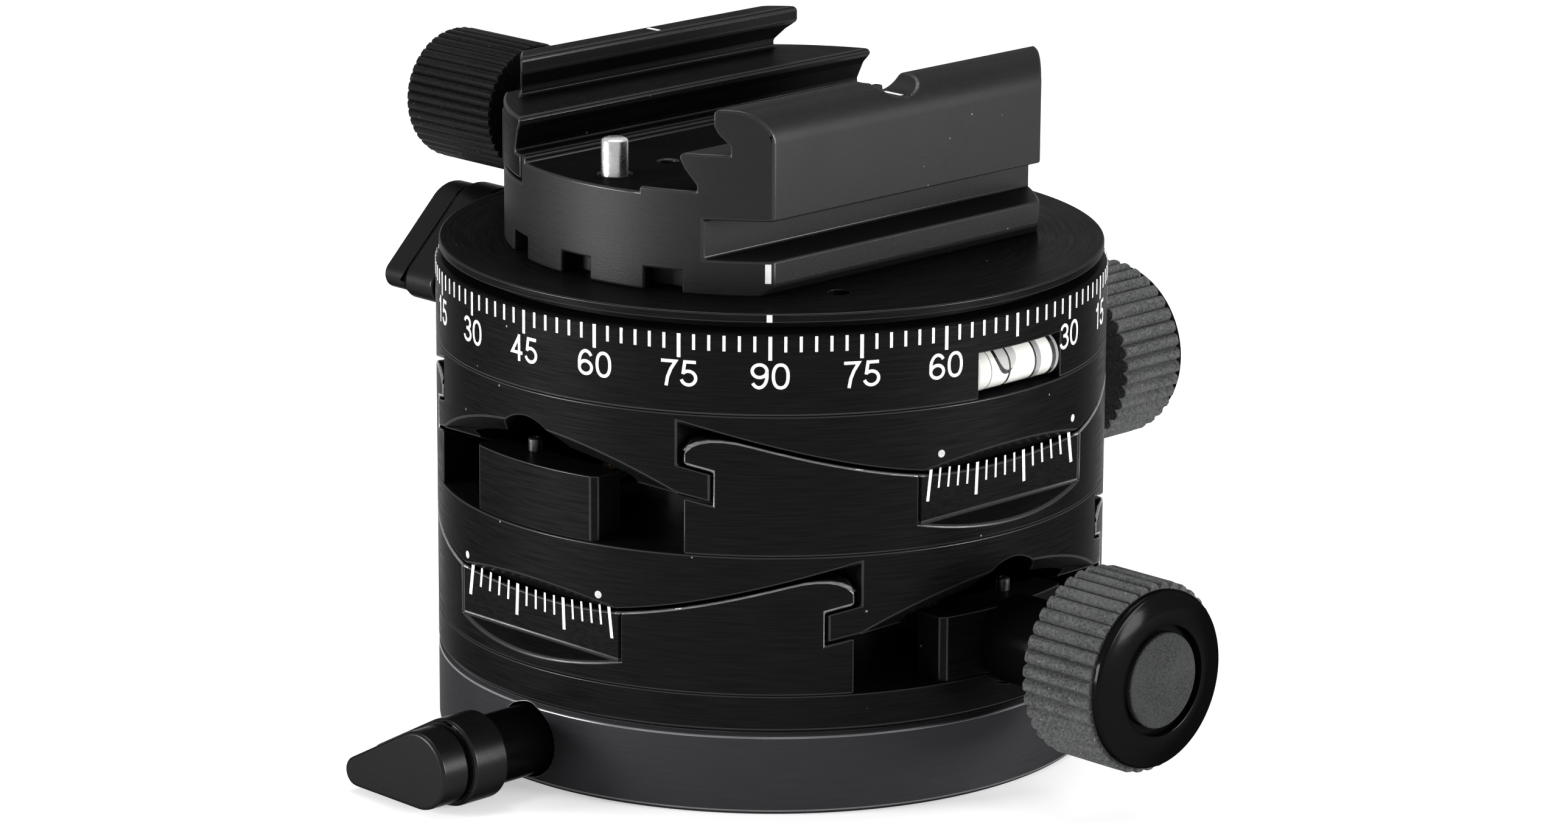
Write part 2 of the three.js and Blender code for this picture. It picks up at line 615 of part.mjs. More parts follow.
// The fixed parts of a stage: side plates, bearing blocks, worm, cradle and knob
function addStageDrive(prefix, floor, turn, under) {
  const group = new THREE.Group();
  group.position.z = floor;
  group.rotation.z = turn;
  head.add(group);
  addMesh(group, `${prefix}_plate_near`, sidePlate(-1), blackAnodised);
  addMesh(group, `${prefix}_plate_far`, sidePlate(1), blackAnodised);
  addPlateScrews(group, prefix, under);
  const inside = block.inner - overrun;
  const bushBore = rodAlongX(bush.radius + fitGap, inside, block.outerRadius + overrun, smallSides)
    .translate([0, 0, shaft.height]);
  addMesh(group, `${prefix}_knob_block`, cut(endBlock(), bushBore, grubHole()), blackAnodised);
  const farBore = rodAlongX(shaft.radius + runningGap, inside, runningGap - shaft.farEnd, smallSides)
    .translate([0, 0, shaft.height]);
  const nameBlock = cut(endBlock(), farBore, grubHole()).mirror([1, 0, 0]);
  addMesh(group, `${prefix}_face_block`, nameBlock, satinBlack);
  addGrub(group, `${prefix}_knob_block_grub`, 1);
  addGrub(group, `${prefix}_face_block_grub`, -1);
  const bushEnd = block.outerRadius - runningGap;
  const bushBody = turnedAlongX([
    [0, block.inner - bush.flange], [bush.flangeRadius, block.inner - bush.flange],
    [bush.flangeRadius, block.inner], [bush.radius, block.inner], [bush.radius, bushEnd], [0, bushEnd],
  ], smallSides);
  const bushHole = rodAlongX(shaft.radius + fitGap, inside - bush.flange, bushEnd + overrun, smallSides);
  const wormBush = cut(bushBody, bushHole).translate([0, 0, shaft.height]);
  addMesh(group, `${prefix}_worm_bush`, wormBush, brass);
  addMesh(group, `${prefix}_worm`, wormSkin().translate([0, 0, shaft.height]), steel);
  addMesh(group, `${prefix}_worm_cradle`, wormCradle(), steel);
  addTiltKnob(group, prefix);
}

// The outline of a cut that slopes up from a low height inside to a high one at the body's round
function slopedCut({ depth, lowDrop, highDrop }) {
  const inside = bodyRadius - depth;
  const outside = bodyRadius + overrun;
  const low = stagePitch - lowDrop;
  const slope = (lowDrop - highDrop) / depth;
  return outlineOf([
    [inside, -overrun], [outside, -overrun], [outside, low + slope * (outside - inside)], [inside, low],
  ]);
}

// The carriage that rides in the arc grooves, with its rack; its top carries what is above
function carriageBody() {
  const round = rod(bodyRadius, 0, stagePitch, bodySides);
  const half = bodyRadius + overrun;
  const stemHalf = arc.plateInner - arc.stemGap;
  const skirtHalf = Math.sqrt(bodyRadius ** 2 - stemHalf ** 2) + seamGap;
  const skirt = prism(aboveArc(arc.lipReach - arc.skirtGap, skirtHalf, stagePitch), 'y', -half, half);
  const stem = prism(aboveArc(arc.stemReach, half, stagePitch), 'y', -stemHalf, stemHalf);
  const tongueHalf = arc.plateInner + arc.grooveDepth - runningGap;
  const tongue = prism(arcBand(arc.grooveTop + runningGap, arc.grooveBottom - runningGap, half),
    'y', -tongueHalf, tongueHalf);
  const body = joined(skirt, stem, tongue).intersect(round);
  const hollow = rod(bodyRadius - pocket.wall, -overrun, pocket.roof, bodySides).intersect(
    boxBetween([-half, -pocket.half, -overrun], [half, pocket.half, pocket.roof + overrun]));
  const endCut = prism(slopedCut(relief), 'y', -stemHalf - overrun, stemHalf + overrun);
  const sideCut = prism(slopedCut(skirtRecess), 'x', -scalePocket.half, scalePocket.half);
  const tunnel = rodAlongX(notch.radius, -half, half, smallSides).translate([0, 0, notch.height]);
  return cut(body, hollow, endCut, endCut.mirror([1, 0, 0]), sideCut, sideCut.mirror([0, 1, 0]), tunnel);
}

function addCarriage(prefix, floor, turn, cutsAbove) {
  const group = new THREE.Group();
  group.position.z = floor;
  group.rotation.z = turn;
  head.add(group);
  const body = cutsAbove ? cut(carriageBody(), cutsAbove) : carriageBody();
  addMesh(group, `${prefix}_carriage`, body, blackAnodised);
  addMesh(group, `${prefix}_rack`, rackSector(), brass);
}

// The turntable plate on the base, with the spigot that turns in it
function addRingPlate() {
  const plate = slice(bodyRadius, ringPlateBottom, lowerFloor, rimChamfer, 0);
  const ring = spigotRing(lowerFloor - rimChamfer, spigot.bottom, baseLock.height, spigot.innerRadius);
  const collarRoom = rodAlongX(knob.collarRadius + runningGap, block.outerRadius - runningGap,
    bodyRadius + overrun, midSides).translate([0, 0, lowerFloor + shaft.height]);
  const holes = carrierHoles(-ringPlateHeight).translate([0, 0, lowerFloor]);
  addMesh(head, 'ring_plate', cut(joined(plate, ring), collarRoom, holes), blackAnodised);
}

// The scale ring: a cup for the top spindle, with the pocket of the spirit level
function addScaleRing() {
  const cupFloor = panFloor + panLock.rise - spigot.grooveHalf - fitGap * 2;
  const cup = rod(spigot.radius + runningGap, cupFloor, scaleTop + overrun, bodySides);
  const middle = rod(spigot.innerRadius, panFloor - overrun, scaleTop + overrun, midSides);
  const window = boxBetween([bodyRadius - level.depth, level.low, panFloor - overrun],
    [bodyRadius + overrun, level.high, panFloor + level.top]);
  const bore = lockBore(panLock.boreRadius).rotate([0, 0, 180]).translate([0, 0, panFloor + panLock.rise]);
  const ring = cut(slice(bodyRadius, panFloor, scaleTop, 0, rimChamfer * 2), cup, middle, window, bore);
  addMesh(head, 'scale_ring', ring, blackAnodised);
  const half = (level.high - level.low) / 2 - level.inset;
  const middleAt = (level.high + level.low) / 2;
  const vial = rodAlongX(level.radius, -half, half, smallSides).rotate([0, 0, 90])
    .translate([bodyRadius - level.sink, middleAt, panFloor + level.radius + runningGap]);
  addMesh(head, 'level_vial', vial, vialClear);
  addLock('pan', panFloor + panLock.rise, quarterTurn * 2, panLock);
}

// The top disc with its spindle
function addTopDisc() {
  const bottom = panFloor + panLock.rise - spigot.grooveHalf;
  const spindle = spigotRing(discTop - rimChamfer, bottom, panFloor + panLock.rise, 0);
  const plate = slice(bodyRadius - disc.inset, discBottom, discTop, 0, 0);
  const hub = rod(bodyRadius - disc.hubInset, scaleTop + seamGap, discTop - rimChamfer, bodySides);
  const boltHole = rod(bolt.radius + fitGap, bolt.end - fitGap, discTop + overrun, smallSides);
  const pinHole = rod(disc.pinHoleRadius, discBottom - overrun, discTop + overrun, tinySides)
    .translate([bodyRadius - disc.pinHoleInset, 0, 0]).rotate([0, 0, disc.pinHoleTurn]);
  addMesh(head, 'top_disc', cut(joined(plate, hub, spindle), boltHole, pinHole), blackAnodised);
}

// The jaws' hooked outline from the foot to the top, on the side where x is positive
function hookPoints(outer) {
  return [
    [hook.foot, clamp.rim + hook.footRise], [hook.waist, hook.waistHeight], [hook.ledge, hook.ledgeLow],
    [hook.ledge, hook.ledgeHigh - hook.tipChamfer], [hook.ledge + hook.tipChamfer, hook.ledgeHigh],
    [hook.inner, hook.ledgeHigh], [hook.inner, hook.innerHigh], [hook.neck, hook.neckHeight],
    [hook.tip, hook.tipLow], [hook.tip, clamp.top - hook.tipChamfer], [hook.tip + hook.tipChamfer, clamp.top],
    ...shoulderPoints(outer),
  ];
}

// The rounded shoulder between a jaw's top and its outer face
function shoulderPoints(outer) {
  const points = [];
  for (let i = 0; i <= cornerSteps; i += 1) {
    const angle = (Math.PI / 2) * (1 - i / cornerSteps);
    points.push([outer - hook.shoulder + hook.shoulder * Math.cos(angle),
      clamp.top - hook.shoulder + hook.shoulder * Math.sin(angle)]);
  }
  return points;
}

// Slots round the clamp's foot, all but beside its milled flat
function castellations() {
  const slots = [];
  for (let i = 0; i < castle.count; i += 1) {
    const degrees = (360 * i) / castle.count;
    const fromFlat = Math.min(degrees, 360 - degrees);
    if (fromFlat < castle.skipHalfAngle) continue;
    const slot = boxBetween([clamp.radius - castle.depth, -castle.width / 2, discTop - overrun],
      [clamp.radius + overrun, castle.width / 2, discTop + castle.height]);
    slots.push(slot.rotate([0, 0, degrees]));
  }
  return joined(...slots);
}

// The clamp's base and fixed jaw: a turned puck milled along Y
function addClampBase() {
  const outline = outlineOf([
    [-clamp.radius - overrun, discTop], [clamp.flat - clamp.footChamfer, discTop],
    [clamp.flat, discTop + clamp.footChamfer], [clamp.flat, clamp.grooveFloor],
    [clamp.grooveWall, clamp.grooveFloor], [clamp.grooveWall, clamp.grooveTop], [clamp.flat, clamp.grooveTop],
    ...hookPoints(clamp.flat).reverse(),
    [hook.foot, clamp.rim], [clamp.floorRight, clamp.rim], [clamp.floorRight, clamp.floor],
    [clamp.floorLeft, clamp.floor], [clamp.floorLeft, clamp.rim], [clamp.seatEdge, clamp.rim],
    [clamp.seatEdge, clamp.jawSeat], [-clamp.radius - overrun, clamp.jawSeat],
  ]);
  const span = clamp.radius + overrun;
  const body = prism(outline, 'y', -span, span).intersect(
    rod(clamp.radius, discTop - overrun, clamp.top + overrun, bodySides));
  const slot = boxBetween([-span, -clamp.slotHalf, clamp.slotFloor],
    [-hook.foot + runningGap, clamp.slotHalf, clamp.jawSeat + overrun]);
  const screwHole = rodAlongX(jawDrive.holeRadius, -span, jawDrive.screwEnd + fitGap, smallSides)
    .translate([0, 0, jawDrive.height]);
  const rodHoles = [-jawDrive.rodSide, jawDrive.rodSide].map((y) => rodAlongX(jawDrive.rodRadius + fitGap,
    -span, jawDrive.rodEnd + fitGap, tinySides).translate([0, y, jawDrive.height]));
  const boltSeat = joined(rod(bolt.boreRadius, bolt.seat, clamp.rim + overrun, midSides),
    rod(bolt.radius + fitGap, discTop - overrun, clamp.rim, smallSides));
  const pinWell = rod(stopPin.radius + fitGap, stopPin.well, clamp.rim + overrun, smallSides)
    .translate([stopPin.x, stopPin.y, 0]);
  const sideHoles = [-sideHole.y, sideHole.y].map((y) => rod(sideHole.radius, clamp.floor - sideHole.depth,
    clamp.rim + overrun, tinySides).translate([0, y, 0]));
  const dip = rodAlongX(scallop.radius, hook.inner - overrun * 2, clamp.flat + overrun, smallSides)
    .translate([0, 0, clamp.top + scallop.radius - scallop.depth]);
  addMesh(head, 'clamp_base',
    cut(body, slot, screwHole, ...rodHoles, boltSeat, pinWell, ...sideHoles, dip, castellations()),
    satinBlack);
}

function addClampHardware() {
  const headTop = bolt.seat + bolt.headHeight;
  const body = turned([
    [0, bolt.end], [bolt.radius, bolt.end], [bolt.radius, bolt.seat], [bolt.headRadius, bolt.seat],
    [bolt.headRadius, headTop], [0, headTop],
  ], smallSides);
  const hex = rod(bolt.hexRadius, headTop - bolt.hexDepth, headTop + overrun, 6);
  addMesh(head, 'clamp_bolt', cut(body, hex), steel);
  const pin = turned([
    [0, stopPin.foot], [stopPin.radius, stopPin.foot], [stopPin.radius, stopPin.top - stopPin.chamfer],
    [stopPin.radius - stopPin.chamfer, stopPin.top], [0, stopPin.top],
  ], smallSides).translate([stopPin.x, stopPin.y, 0]);
  addMesh(head, 'stop_pin', pin, steel);
  const spring = cut(rod(stopPin.springRadius, stopPin.well, stopPin.foot, tinySides),
    rod(stopPin.springBore, stopPin.well - overrun, stopPin.foot + overrun, tinySides))
    .translate([stopPin.x, stopPin.y, 0]);
  addMesh(head, 'stop_pin_spring', spring, steel);
}

// The movable jaw: a hooked bar with a boss for the screw and the guide rods
function addMovableJaw() {
  const seat = clamp.jawSeat + jaw.seatGap;
  const outline = outlineOf([
    [-jaw.outer, seat], ...hookPoints(-jaw.outer).reverse(), [hook.foot, seat],
  ].map(([x, z]) => [-x, z]).reverse());
  const bar = prism(outline, 'y', -jaw.endRadius, jaw.endRadius);
  const lowerBar = bar.intersect(rod(jaw.endRadius, clamp.jawSeat, hook.ledgeHigh, bodySides));
  const upperBar = bar.intersect(rod(jaw.hookEndRadius, clamp.jawSeat, clamp.top + overrun, bodySides));
  const boss = boxBetween([jaw.bossOuter, -jaw.bossHalf, jaw.bossLow],
    [-hook.foot, jaw.bossHalf, jaw.bossTop]);
  const screwHole = rodAlongX(jawDrive.screwRadius + fitGap, jaw.bossOuter - overrun, 0, smallSides)
    .translate([0, 0, jawDrive.height]);
  const rodHoles = [-jawDrive.rodSide, jawDrive.rodSide].map((y) => rodAlongX(jawDrive.rodRadius + fitGap,
    jaw.bossOuter + overrun, 0, tinySides).translate([0, y, jawDrive.height]));
  addMesh(head, 'movable_jaw', cut(joined(lowerBar, upperBar, boss), screwHole, ...rodHoles), satinBlack);
  for (const [name, y] of [['guide_rod_near', -jawDrive.rodSide], ['guide_rod_far', jawDrive.rodSide]]) {
    const pin = rodAlongX(jawDrive.rodRadius, jaw.bossOuter + overrun + fitGap, jawDrive.rodEnd, tinySides);
    addMesh(head, name, pin.translate([0, y, jawDrive.height]), steel);
  }
}

function addClampKnob() {
  const place = (body) => body.rotate([0, 0, 180]).translate([0, 0, jawDrive.height]);
  const start = -clampKnob.start;
  const end = -clampKnob.end;
  const neckStart = -jaw.bossOuter + seamGap;
  const sleeve = ribbedSleeve(clampKnob.radius, clampKnob.ribDepth, clampKnob.ribs,
    clampKnob.coreRadius + fitGap, start, end - clampKnob.round);
  const smooth = clampKnob.radius - clampKnob.ribDepth;
  const nose = turnedAlongX([
    [0, -clampKnob.coreEnd + fitGap], [smooth, end - clampKnob.round - seamGap],
    [smooth - clampKnob.round / 3, end - clampKnob.round / 3], [smooth - clampKnob.round, end], [0, end],
  ], midSides);
  addMesh(head, 'clamp_knob_grip', place(joined(sleeve, nose)), rubber);
  const core = turnedAlongX([
    [0, neckStart], [clampKnob.neckRadius, neckStart], [clampKnob.neckRadius, start - seamGap],
    [clampKnob.coreRadius, start - seamGap], [clampKnob.coreRadius, -clampKnob.coreEnd],
    [0, -clampKnob.coreEnd],
  ], smallSides);
  const bore = rodAlongX(jawDrive.screwRadius + fitGap, neckStart - overrun, start + fitGap,
    smallSides);
  addMesh(head, 'clamp_knob_core', place(cut(core, bore)), glossBlack);
  const screw = rodAlongX(jawDrive.screwRadius, -jawDrive.screwEnd, start, smallSides);
  addMesh(head, 'clamp_screw', place(screw), steel);
}

const upperCarrierHoles = carrierHoles(-pocket.topThick).rotate([0, 0, 90]).translate([0, 0, stagePitch]);
addBase();
addRingPlate();
addStageDrive('lower', lowerFloor, 0, -ringPlateHeight);
addCarriage('lower', lowerFloor, 0, upperCarrierHoles);
addStageDrive('upper', upperFloor, quarterTurn, -pocket.topThick);
addCarriage('upper', upperFloor, quarterTurn, null);
addScaleRing();
addTopDisc();
addClampBase();
addClampHardware();
addMovableJaw();
addClampKnob();

export default head;
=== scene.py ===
"""The looks of a camera leveling head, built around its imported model.

Lengths in this file are millimetres, and each mesh is scaled to metres when it is made. The head
stands on the origin: its clamp's channel runs along Y, the fixed jaw and the lower knob are on +X.
"""

import json
import math
from types import SimpleNamespace as Sizes

import bmesh
import bpy
from mathutils import Matrix, Vector


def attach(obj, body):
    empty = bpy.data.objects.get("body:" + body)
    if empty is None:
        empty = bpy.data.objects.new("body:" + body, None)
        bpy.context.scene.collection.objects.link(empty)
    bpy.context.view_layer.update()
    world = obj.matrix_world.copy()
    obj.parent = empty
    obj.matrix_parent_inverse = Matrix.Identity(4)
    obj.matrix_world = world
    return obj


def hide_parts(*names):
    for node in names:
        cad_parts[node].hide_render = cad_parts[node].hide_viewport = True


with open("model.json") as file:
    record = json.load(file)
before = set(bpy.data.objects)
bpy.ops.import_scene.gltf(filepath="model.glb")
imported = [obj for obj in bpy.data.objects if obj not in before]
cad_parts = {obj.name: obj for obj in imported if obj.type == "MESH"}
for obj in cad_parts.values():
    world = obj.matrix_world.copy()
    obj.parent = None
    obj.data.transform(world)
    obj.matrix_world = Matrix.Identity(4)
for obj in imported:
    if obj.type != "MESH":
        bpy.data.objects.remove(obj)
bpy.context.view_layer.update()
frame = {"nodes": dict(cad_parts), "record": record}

MM = 0.001
TURN = 2 * math.pi

# Sides of round bodies, and steps of an arc
FINE = 192
MID = 96
SMALL = 48
TINY = 24
ARC_STEPS = 48

# How far a cut runs on past a face, and the room between pieces
OVERRUN = 2
GAP = 0.3
FIT = 0.2

# Driving sizes of the body and the heights of its stack
BODY = 37.5
BASE_HEIGHT = 9.3
SEAM = 0.1
RING_PLATE = 4.05
PITCH = 15.55
SCALE_RING = 9.05
DISC_GAP = 1.1
DISC = 1
LOWER = BASE_HEIGHT + SEAM + RING_PLATE
UPPER = LOWER + PITCH
PAN = UPPER + PITCH
SCALE_TOP = PAN + SCALE_RING
DISC_LOW = SCALE_TOP + DISC_GAP
DISC_TOP = DISC_LOW + DISC
SPIGOT = 24


# Meshes, in millimetres
def new_object(name, verts, faces):
    mesh = bpy.data.meshes.new(name)
    mesh.from_pydata([[c * MM for c in v] for v in verts], [], faces)
    mesh.update()
    obj = bpy.data.objects.new(name, mesh)
    bpy.context.scene.collection.objects.link(obj)
    return obj


def tidy_normals(obj):
    bm = bmesh.new()
    bm.from_mesh(obj.data)
    bmesh.ops.recalc_face_normals(bm, faces=bm.faces)
    bm.to_mesh(obj.data)
    bm.free()
    return obj


def move(obj, x=0, y=0, z=0):
    obj.data.transform(Matrix.Translation(Vector((x, y, z)) * MM))
    return obj


def turn(obj, degrees, axis="Z"):
    obj.data.transform(Matrix.Rotation(math.radians(degrees), 4, axis))
    return obj


def mirror(obj, axis):
    scale = [-1 if name == axis else 1 for name in "XYZ"]
    obj.data.transform(Matrix.Diagonal((*scale, 1)))
    obj.data.flip_normals()
    return obj


def twin(obj):
    other = obj.copy()
    other.data = obj.data.copy()
    bpy.context.scene.collection.objects.link(other)
    return other


def lathe(profile, sides=FINE, closed=False):
    """A turned body about Z from [radius, height] points, which end on the axis or close on themselves."""
    verts, faces, rings = [], [], []
    for radius, height in profile:
        start = len(verts)
        if radius == 0:
            verts.append((0, 0, height))
            rings.append([start])
            continue
        for i in range(sides):
            angle = TURN * i / sides
            verts.append((radius * math.cos(angle), radius * math.sin(angle), height))
        rings.append(list(range(start, start + sides)))
    pairs = list(zip(rings, rings[1:]))
    if closed:
        pairs.append((rings[-1], rings[0]))
    for low, high in pairs:
        for i in range(sides):
            j = (i + 1) % sides
            loop = [low[i % len(low)], low[j % len(low)], high[j % len(high)], high[i % len(high)]]
            face = list(dict.fromkeys(loop))
            if len(face) > 2:
                faces.append(face)
    return tidy_normals(new_object("turned", verts, faces))


def rod(radius, low, high, sides=MID):
    return lathe([(0, low), (radius, low), (radius, high), (0, high)], sides)


def tube(bore, radius, low, high, sides=SMALL):
    return lathe([(bore, low), (radius, low), (radius, high), (bore, high)], sides, closed=True)


def to_x(obj):
    """Lays a body turned about Z along +X."""
    return turn(obj, 90, "Y")


def drill(radius, start, end, height, sides=MID):
    """A rod along X at some height."""
    return move(to_x(rod(radius, start, end, sides)), z=height)


def prism(outline, axis, low, high):
    """A flat outline pushed along one axis. For y the outline is (x, z), for x it is (y, z)."""
    place = {
        "z": lambda p, q, d: (p, q, d),
        "y": lambda p, q, d: (p, d, q),
        "x": lambda p, q, d: (d, p, q),
    }[axis]
    count = len(outline)
    verts = [place(p, q, low) for p, q in outline] + [place(p, q, high) for p, q in outline]
    faces = [list(range(count)), list(range(count, 2 * count))]
    faces += [[i, (i + 1) % count, count + (i + 1) % count, count + i] for i in range(count)]
    return tidy_normals(new_object("prism", verts, faces))


def box(low, high):
    outline = [(low[0], low[1]), (high[0], low[1]), (high[0], high[1]), (low[0], high[1])]
    return prism(outline, "z", low[2], high[2])


def bake(obj):
    """Turns an object's modifiers into its mesh."""
    bpy.context.view_layer.update()
    graph = bpy.context.evaluated_depsgraph_get()
    mesh = bpy.data.meshes.new_from_object(obj.evaluated_get(graph), depsgraph=graph)
    old = obj.data
    obj.modifiers.clear()
    obj.data = mesh
    bpy.data.meshes.remove(old)
    return obj


def combine(body, operation, tools):
    for tool in tools:
        step = body.modifiers.new("step", "BOOLEAN")
        step.operation = operation
        step.solver = "MANIFOLD"
        step.object = tool
    bake(body)
    for tool in tools:
        bpy.data.meshes.remove(tool.data)
    return body


def cut(body, *tools):
    return combine(body, "DIFFERENCE", tools)


def join(body, *tools):
    return combine(body, "UNION", tools)


def common(body, *tools):
    return combine(body, "INTERSECT", tools)


# Edges are rounded by a bevel, and each corner of a face gets its normal from the true shape
SMOOTH_ANGLE = math.radians(14)
SHARP_EDGE = math.radians(26)
CORNER_ANGLE = math.radians(20)
FLAT_ANGLE = math.radians(0.25)
CORNER_REACH_SHARE = 1.5
WELD = 0.004 * MM
ROUND_SLACK = 0.04
ROUND_MATCH_SHARE = 0.95


def gather(vert, faces):
    """Groups the faces at a corner that run smoothly into each other."""
    left, groups = list(faces), []
    while left:
        group, queue = [], [left.pop()]
        while queue:
            face = queue.pop()
            group.append(face)
            for edge in vert.link_edges:
                if face in edge.link_faces:
                    for other in edge.link_faces:
                        if other in left and other.normal.angle(face.normal, 0) < SMOOTH_ANGLE:
                            left.remove(other)
                            queue.append(other)
        groups.append(group)
    return groups


def group_normal(vert, group, radii):
    """The normal that a group of faces has at a corner: on a round about Z, the round's own."""
    total = Vector()
    for face in group:
        corner = next(loop for loop in face.loops if loop.vert == vert)
        total += face.normal * corner.calc_angle()
    normal = total.normalized()
    radial = Vector((vert.co.x, vert.co.y, 0))
    if any(abs(radial.length / MM - radius) < ROUND_SLACK for radius in radii):
        radial.normalize()
        if abs(normal.dot(radial)) > ROUND_MATCH_SHARE:
            return radial * math.copysign(1, normal.dot(radial))
    return normal


def set_normals(obj, radii):
    """Flat faces stay flat, rounds about Z get their true normals and bevels blend from face to face."""
    bm = bmesh.new()
    bm.from_mesh(obj.data)
    normals = {}
    for vert in bm.verts:
        plain = [face for face in vert.link_faces if face.material_index == 0]
        for group in gather(vert, plain):
            normal = group_normal(vert, group, radii)
            for face in group:
                normals[face.index, vert.index] = normal
        bevels = [face for face in vert.link_faces if face.material_index == 1]
        blend = sum((face.normal for face in bevels), Vector())
        for face in bevels:
            sides = [edge for edge in vert.link_edges if face in edge.link_faces]
            near = [normals[other.index, vert.index] for edge in sides for other in edge.link_faces
                    if other.material_index == 0]
            normals[face.index, vert.index] = sum(near, Vector()).normalized() if near else blend.normalized()
    bm.free()
    mesh = obj.data
    corners = [normals[face.index, mesh.loops[i].vertex_index] for face in mesh.polygons
               for i in face.loop_indices]
    mesh.normals_split_custom_set(corners)


def is_sharp(edge):
    return len(edge.link_faces) == 2 and edge.calc_face_angle(0) > SHARP_EDGE


def find_corners(bm):
    """Points where sharp edges meet at an angle, in the mesh's own order."""
    corners = []
    for vert in bm.verts:
        ways = [(edge.other_vert(vert).co - vert.co).normalized() for edge in vert.link_edges
                if is_sharp(edge)]
        if len(ways) > 2 or (len(ways) == 2 and ways[0].angle(-ways[1], 0) > CORNER_ANGLE):
            corners.append(vert)
    return corners


def clear_corners(bm, reach):
    """Takes away points and facet edges that lie so near a corner that its bevel would cross them."""
    corners = dict.fromkeys(find_corners(bm))
    targets = {}
    for corner in corners:
        for edge in corner.link_edges:
            other = edge.other_vert(corner)
            if other not in corners and other not in targets and edge.calc_length() < reach:
                targets[other] = corner
    bmesh.ops.weld_verts(bm, targetmap=targets)
    corners = [corner.co for corner in find_corners(bm)]
    spare = []
    for edge in bm.edges:
        if len(edge.link_faces) != 2 or is_sharp(edge):
            continue
        start, end = (vert.co for vert in edge.verts)
        along = end - start
        for corner in corners:
            part = (corner - start).dot(along) / along.length_squared
            if 0 < part < 1 and (start + along * part - corner).length < reach:
                spare.append(edge)
                break
    bmesh.ops.dissolve_edges(bm, edges=spare, use_verts=False)


def round_edges(obj, width, segments=2, radii=()):
    """Bevels the sharp edges. The bevels take the second material, and radii names the rounds about Z."""
    bm = bmesh.new()
    bm.from_mesh(obj.data)
    bmesh.ops.remove_doubles(bm, verts=bm.verts, dist=WELD)
    bmesh.ops.dissolve_limit(bm, angle_limit=FLAT_ANGLE, verts=bm.verts, edges=bm.edges)
    clear_corners(bm, CORNER_REACH_SHARE * width * MM)
    weight = bm.edges.layers.float.new("bevel_weight_edge")
    for edge in bm.edges:
        if is_sharp(edge):
            edge[weight] = 1
    for face in bm.faces:
        face.smooth = True
    bm.to_mesh(obj.data)
    bm.free()
    bevel = obj.modifiers.new("bevel", "BEVEL")
    bevel.width = width * MM
    bevel.segments = segments
    bevel.limit_method = "WEIGHT"
    bevel.use_clamp_overlap = False
    bevel.material = 1
    obj.data.materials.append(None)
    obj.data.materials.append(None)
    bake(obj)
    set_normals(obj, radii)
    return obj


def smooth(obj, degrees=32):
    obj.data.shade_smooth()
    obj.data.set_sharp_from_angle(angle=math.radians(degrees))
    return obj


def dress(obj, name, body, slot, finish, nodes=(), edge=None):
    """Names a piece, gives it its finish and ties it to its body."""
    obj.name = name
    obj.data.name = name
    if not obj.data.materials:
        obj.data.materials.append(None)
    for i in range(len(obj.data.materials)):
        obj.data.materials[i] = edge if i == 1 and edge else finish
    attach(obj, body)
    if nodes:
        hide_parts(*nodes)
    return obj


def finish_faces(obj, finish, chosen, index=0):
    """Gives some faces of a piece, out of its plain or its edge faces, a finish of their own."""
    obj.data.materials.append(finish)
    for face in obj.data.polygons:
        if face.material_index == index and chosen(face, face.center / MM):
            face.material_index = len(obj.data.materials) - 1


# Materials: every surface takes its marks from noise. Noise scales are per metre
MIDDLE_BAND = (0.3, 0.7)
DUST_COLOUR = (0.35, 0.35, 0.34)
METAL = Sizes(around_share=0.0012, line_scale=5200, cloud_scale=90, fine_scale=9000,
              line_band=(0.35, 0.65), dark_share=0.8, mottle_shares=(0.88, 1.14), bump=0.02)
METAL_DUST = {"scale": 700, "size_share": 0.09}
METAL_DUST_SHARE = 0.55
GRAIN = Sizes(cloud_scale=160, grain_band=(0.35, 0.68), worn_band=(0.45, 0.75), worn_share=0.5,
              bump=0.05)
GRAIN_DUST = {"scale": 1300, "size_share": 0.14}
GRAIN_DUST_SHARE = 0.6
LIT = Sizes(share=2.6, more=0.05)
GRAIN_ROUGHNESS = Sizes(down=0.08, up=0.06)
BRIGHT = Sizes(cloud_scale=500, fine_scale=3000, dark_share=0.82, smooth_share=0.8, rough_share=1.25)
PRINTED = Sizes(worn_scale=2500, worn_band=(0.3, 0.5), dark_share=0.8, smooth=0.5, rough=0.7)
LIQUID = Sizes(cloud_scale=400, dark_share=0.93, index=1.45)


def node(tree, kind, **settings):
    made = tree.nodes.new(kind)
    for key, value in settings.items():
        setattr(made, key, value)
    return made


def start_finish(name, **values):
    """A new material, its tree, its shader with some values set, and the coordinates of its piece."""
    material = bpy.data.materials.new(name)
    material.use_nodes = True
    tree = material.node_tree
    shader = tree.nodes["Principled BSDF"]
    sockets = {"roughness": "Roughness", "specular": "Specular IOR Level", "metal": "Metallic",
               "transmission": "Transmission Weight", "index": "IOR"}
    for key, value in values.items():
        shader.inputs[sockets[key]].default_value = value
    return material, tree, shader, node(tree, "ShaderNodeTexCoord").outputs["Object"]


def math_node(tree, operation, first, second=None):
    made = node(tree, "ShaderNodeMath", operation=operation)
    for i, value in enumerate([first, second]):
        if value is None:
            continue
        if isinstance(value, (int, float)):
            made.inputs[i].default_value = value
        else:
            tree.links.new(value, made.inputs[i])
    return made.outputs[0]


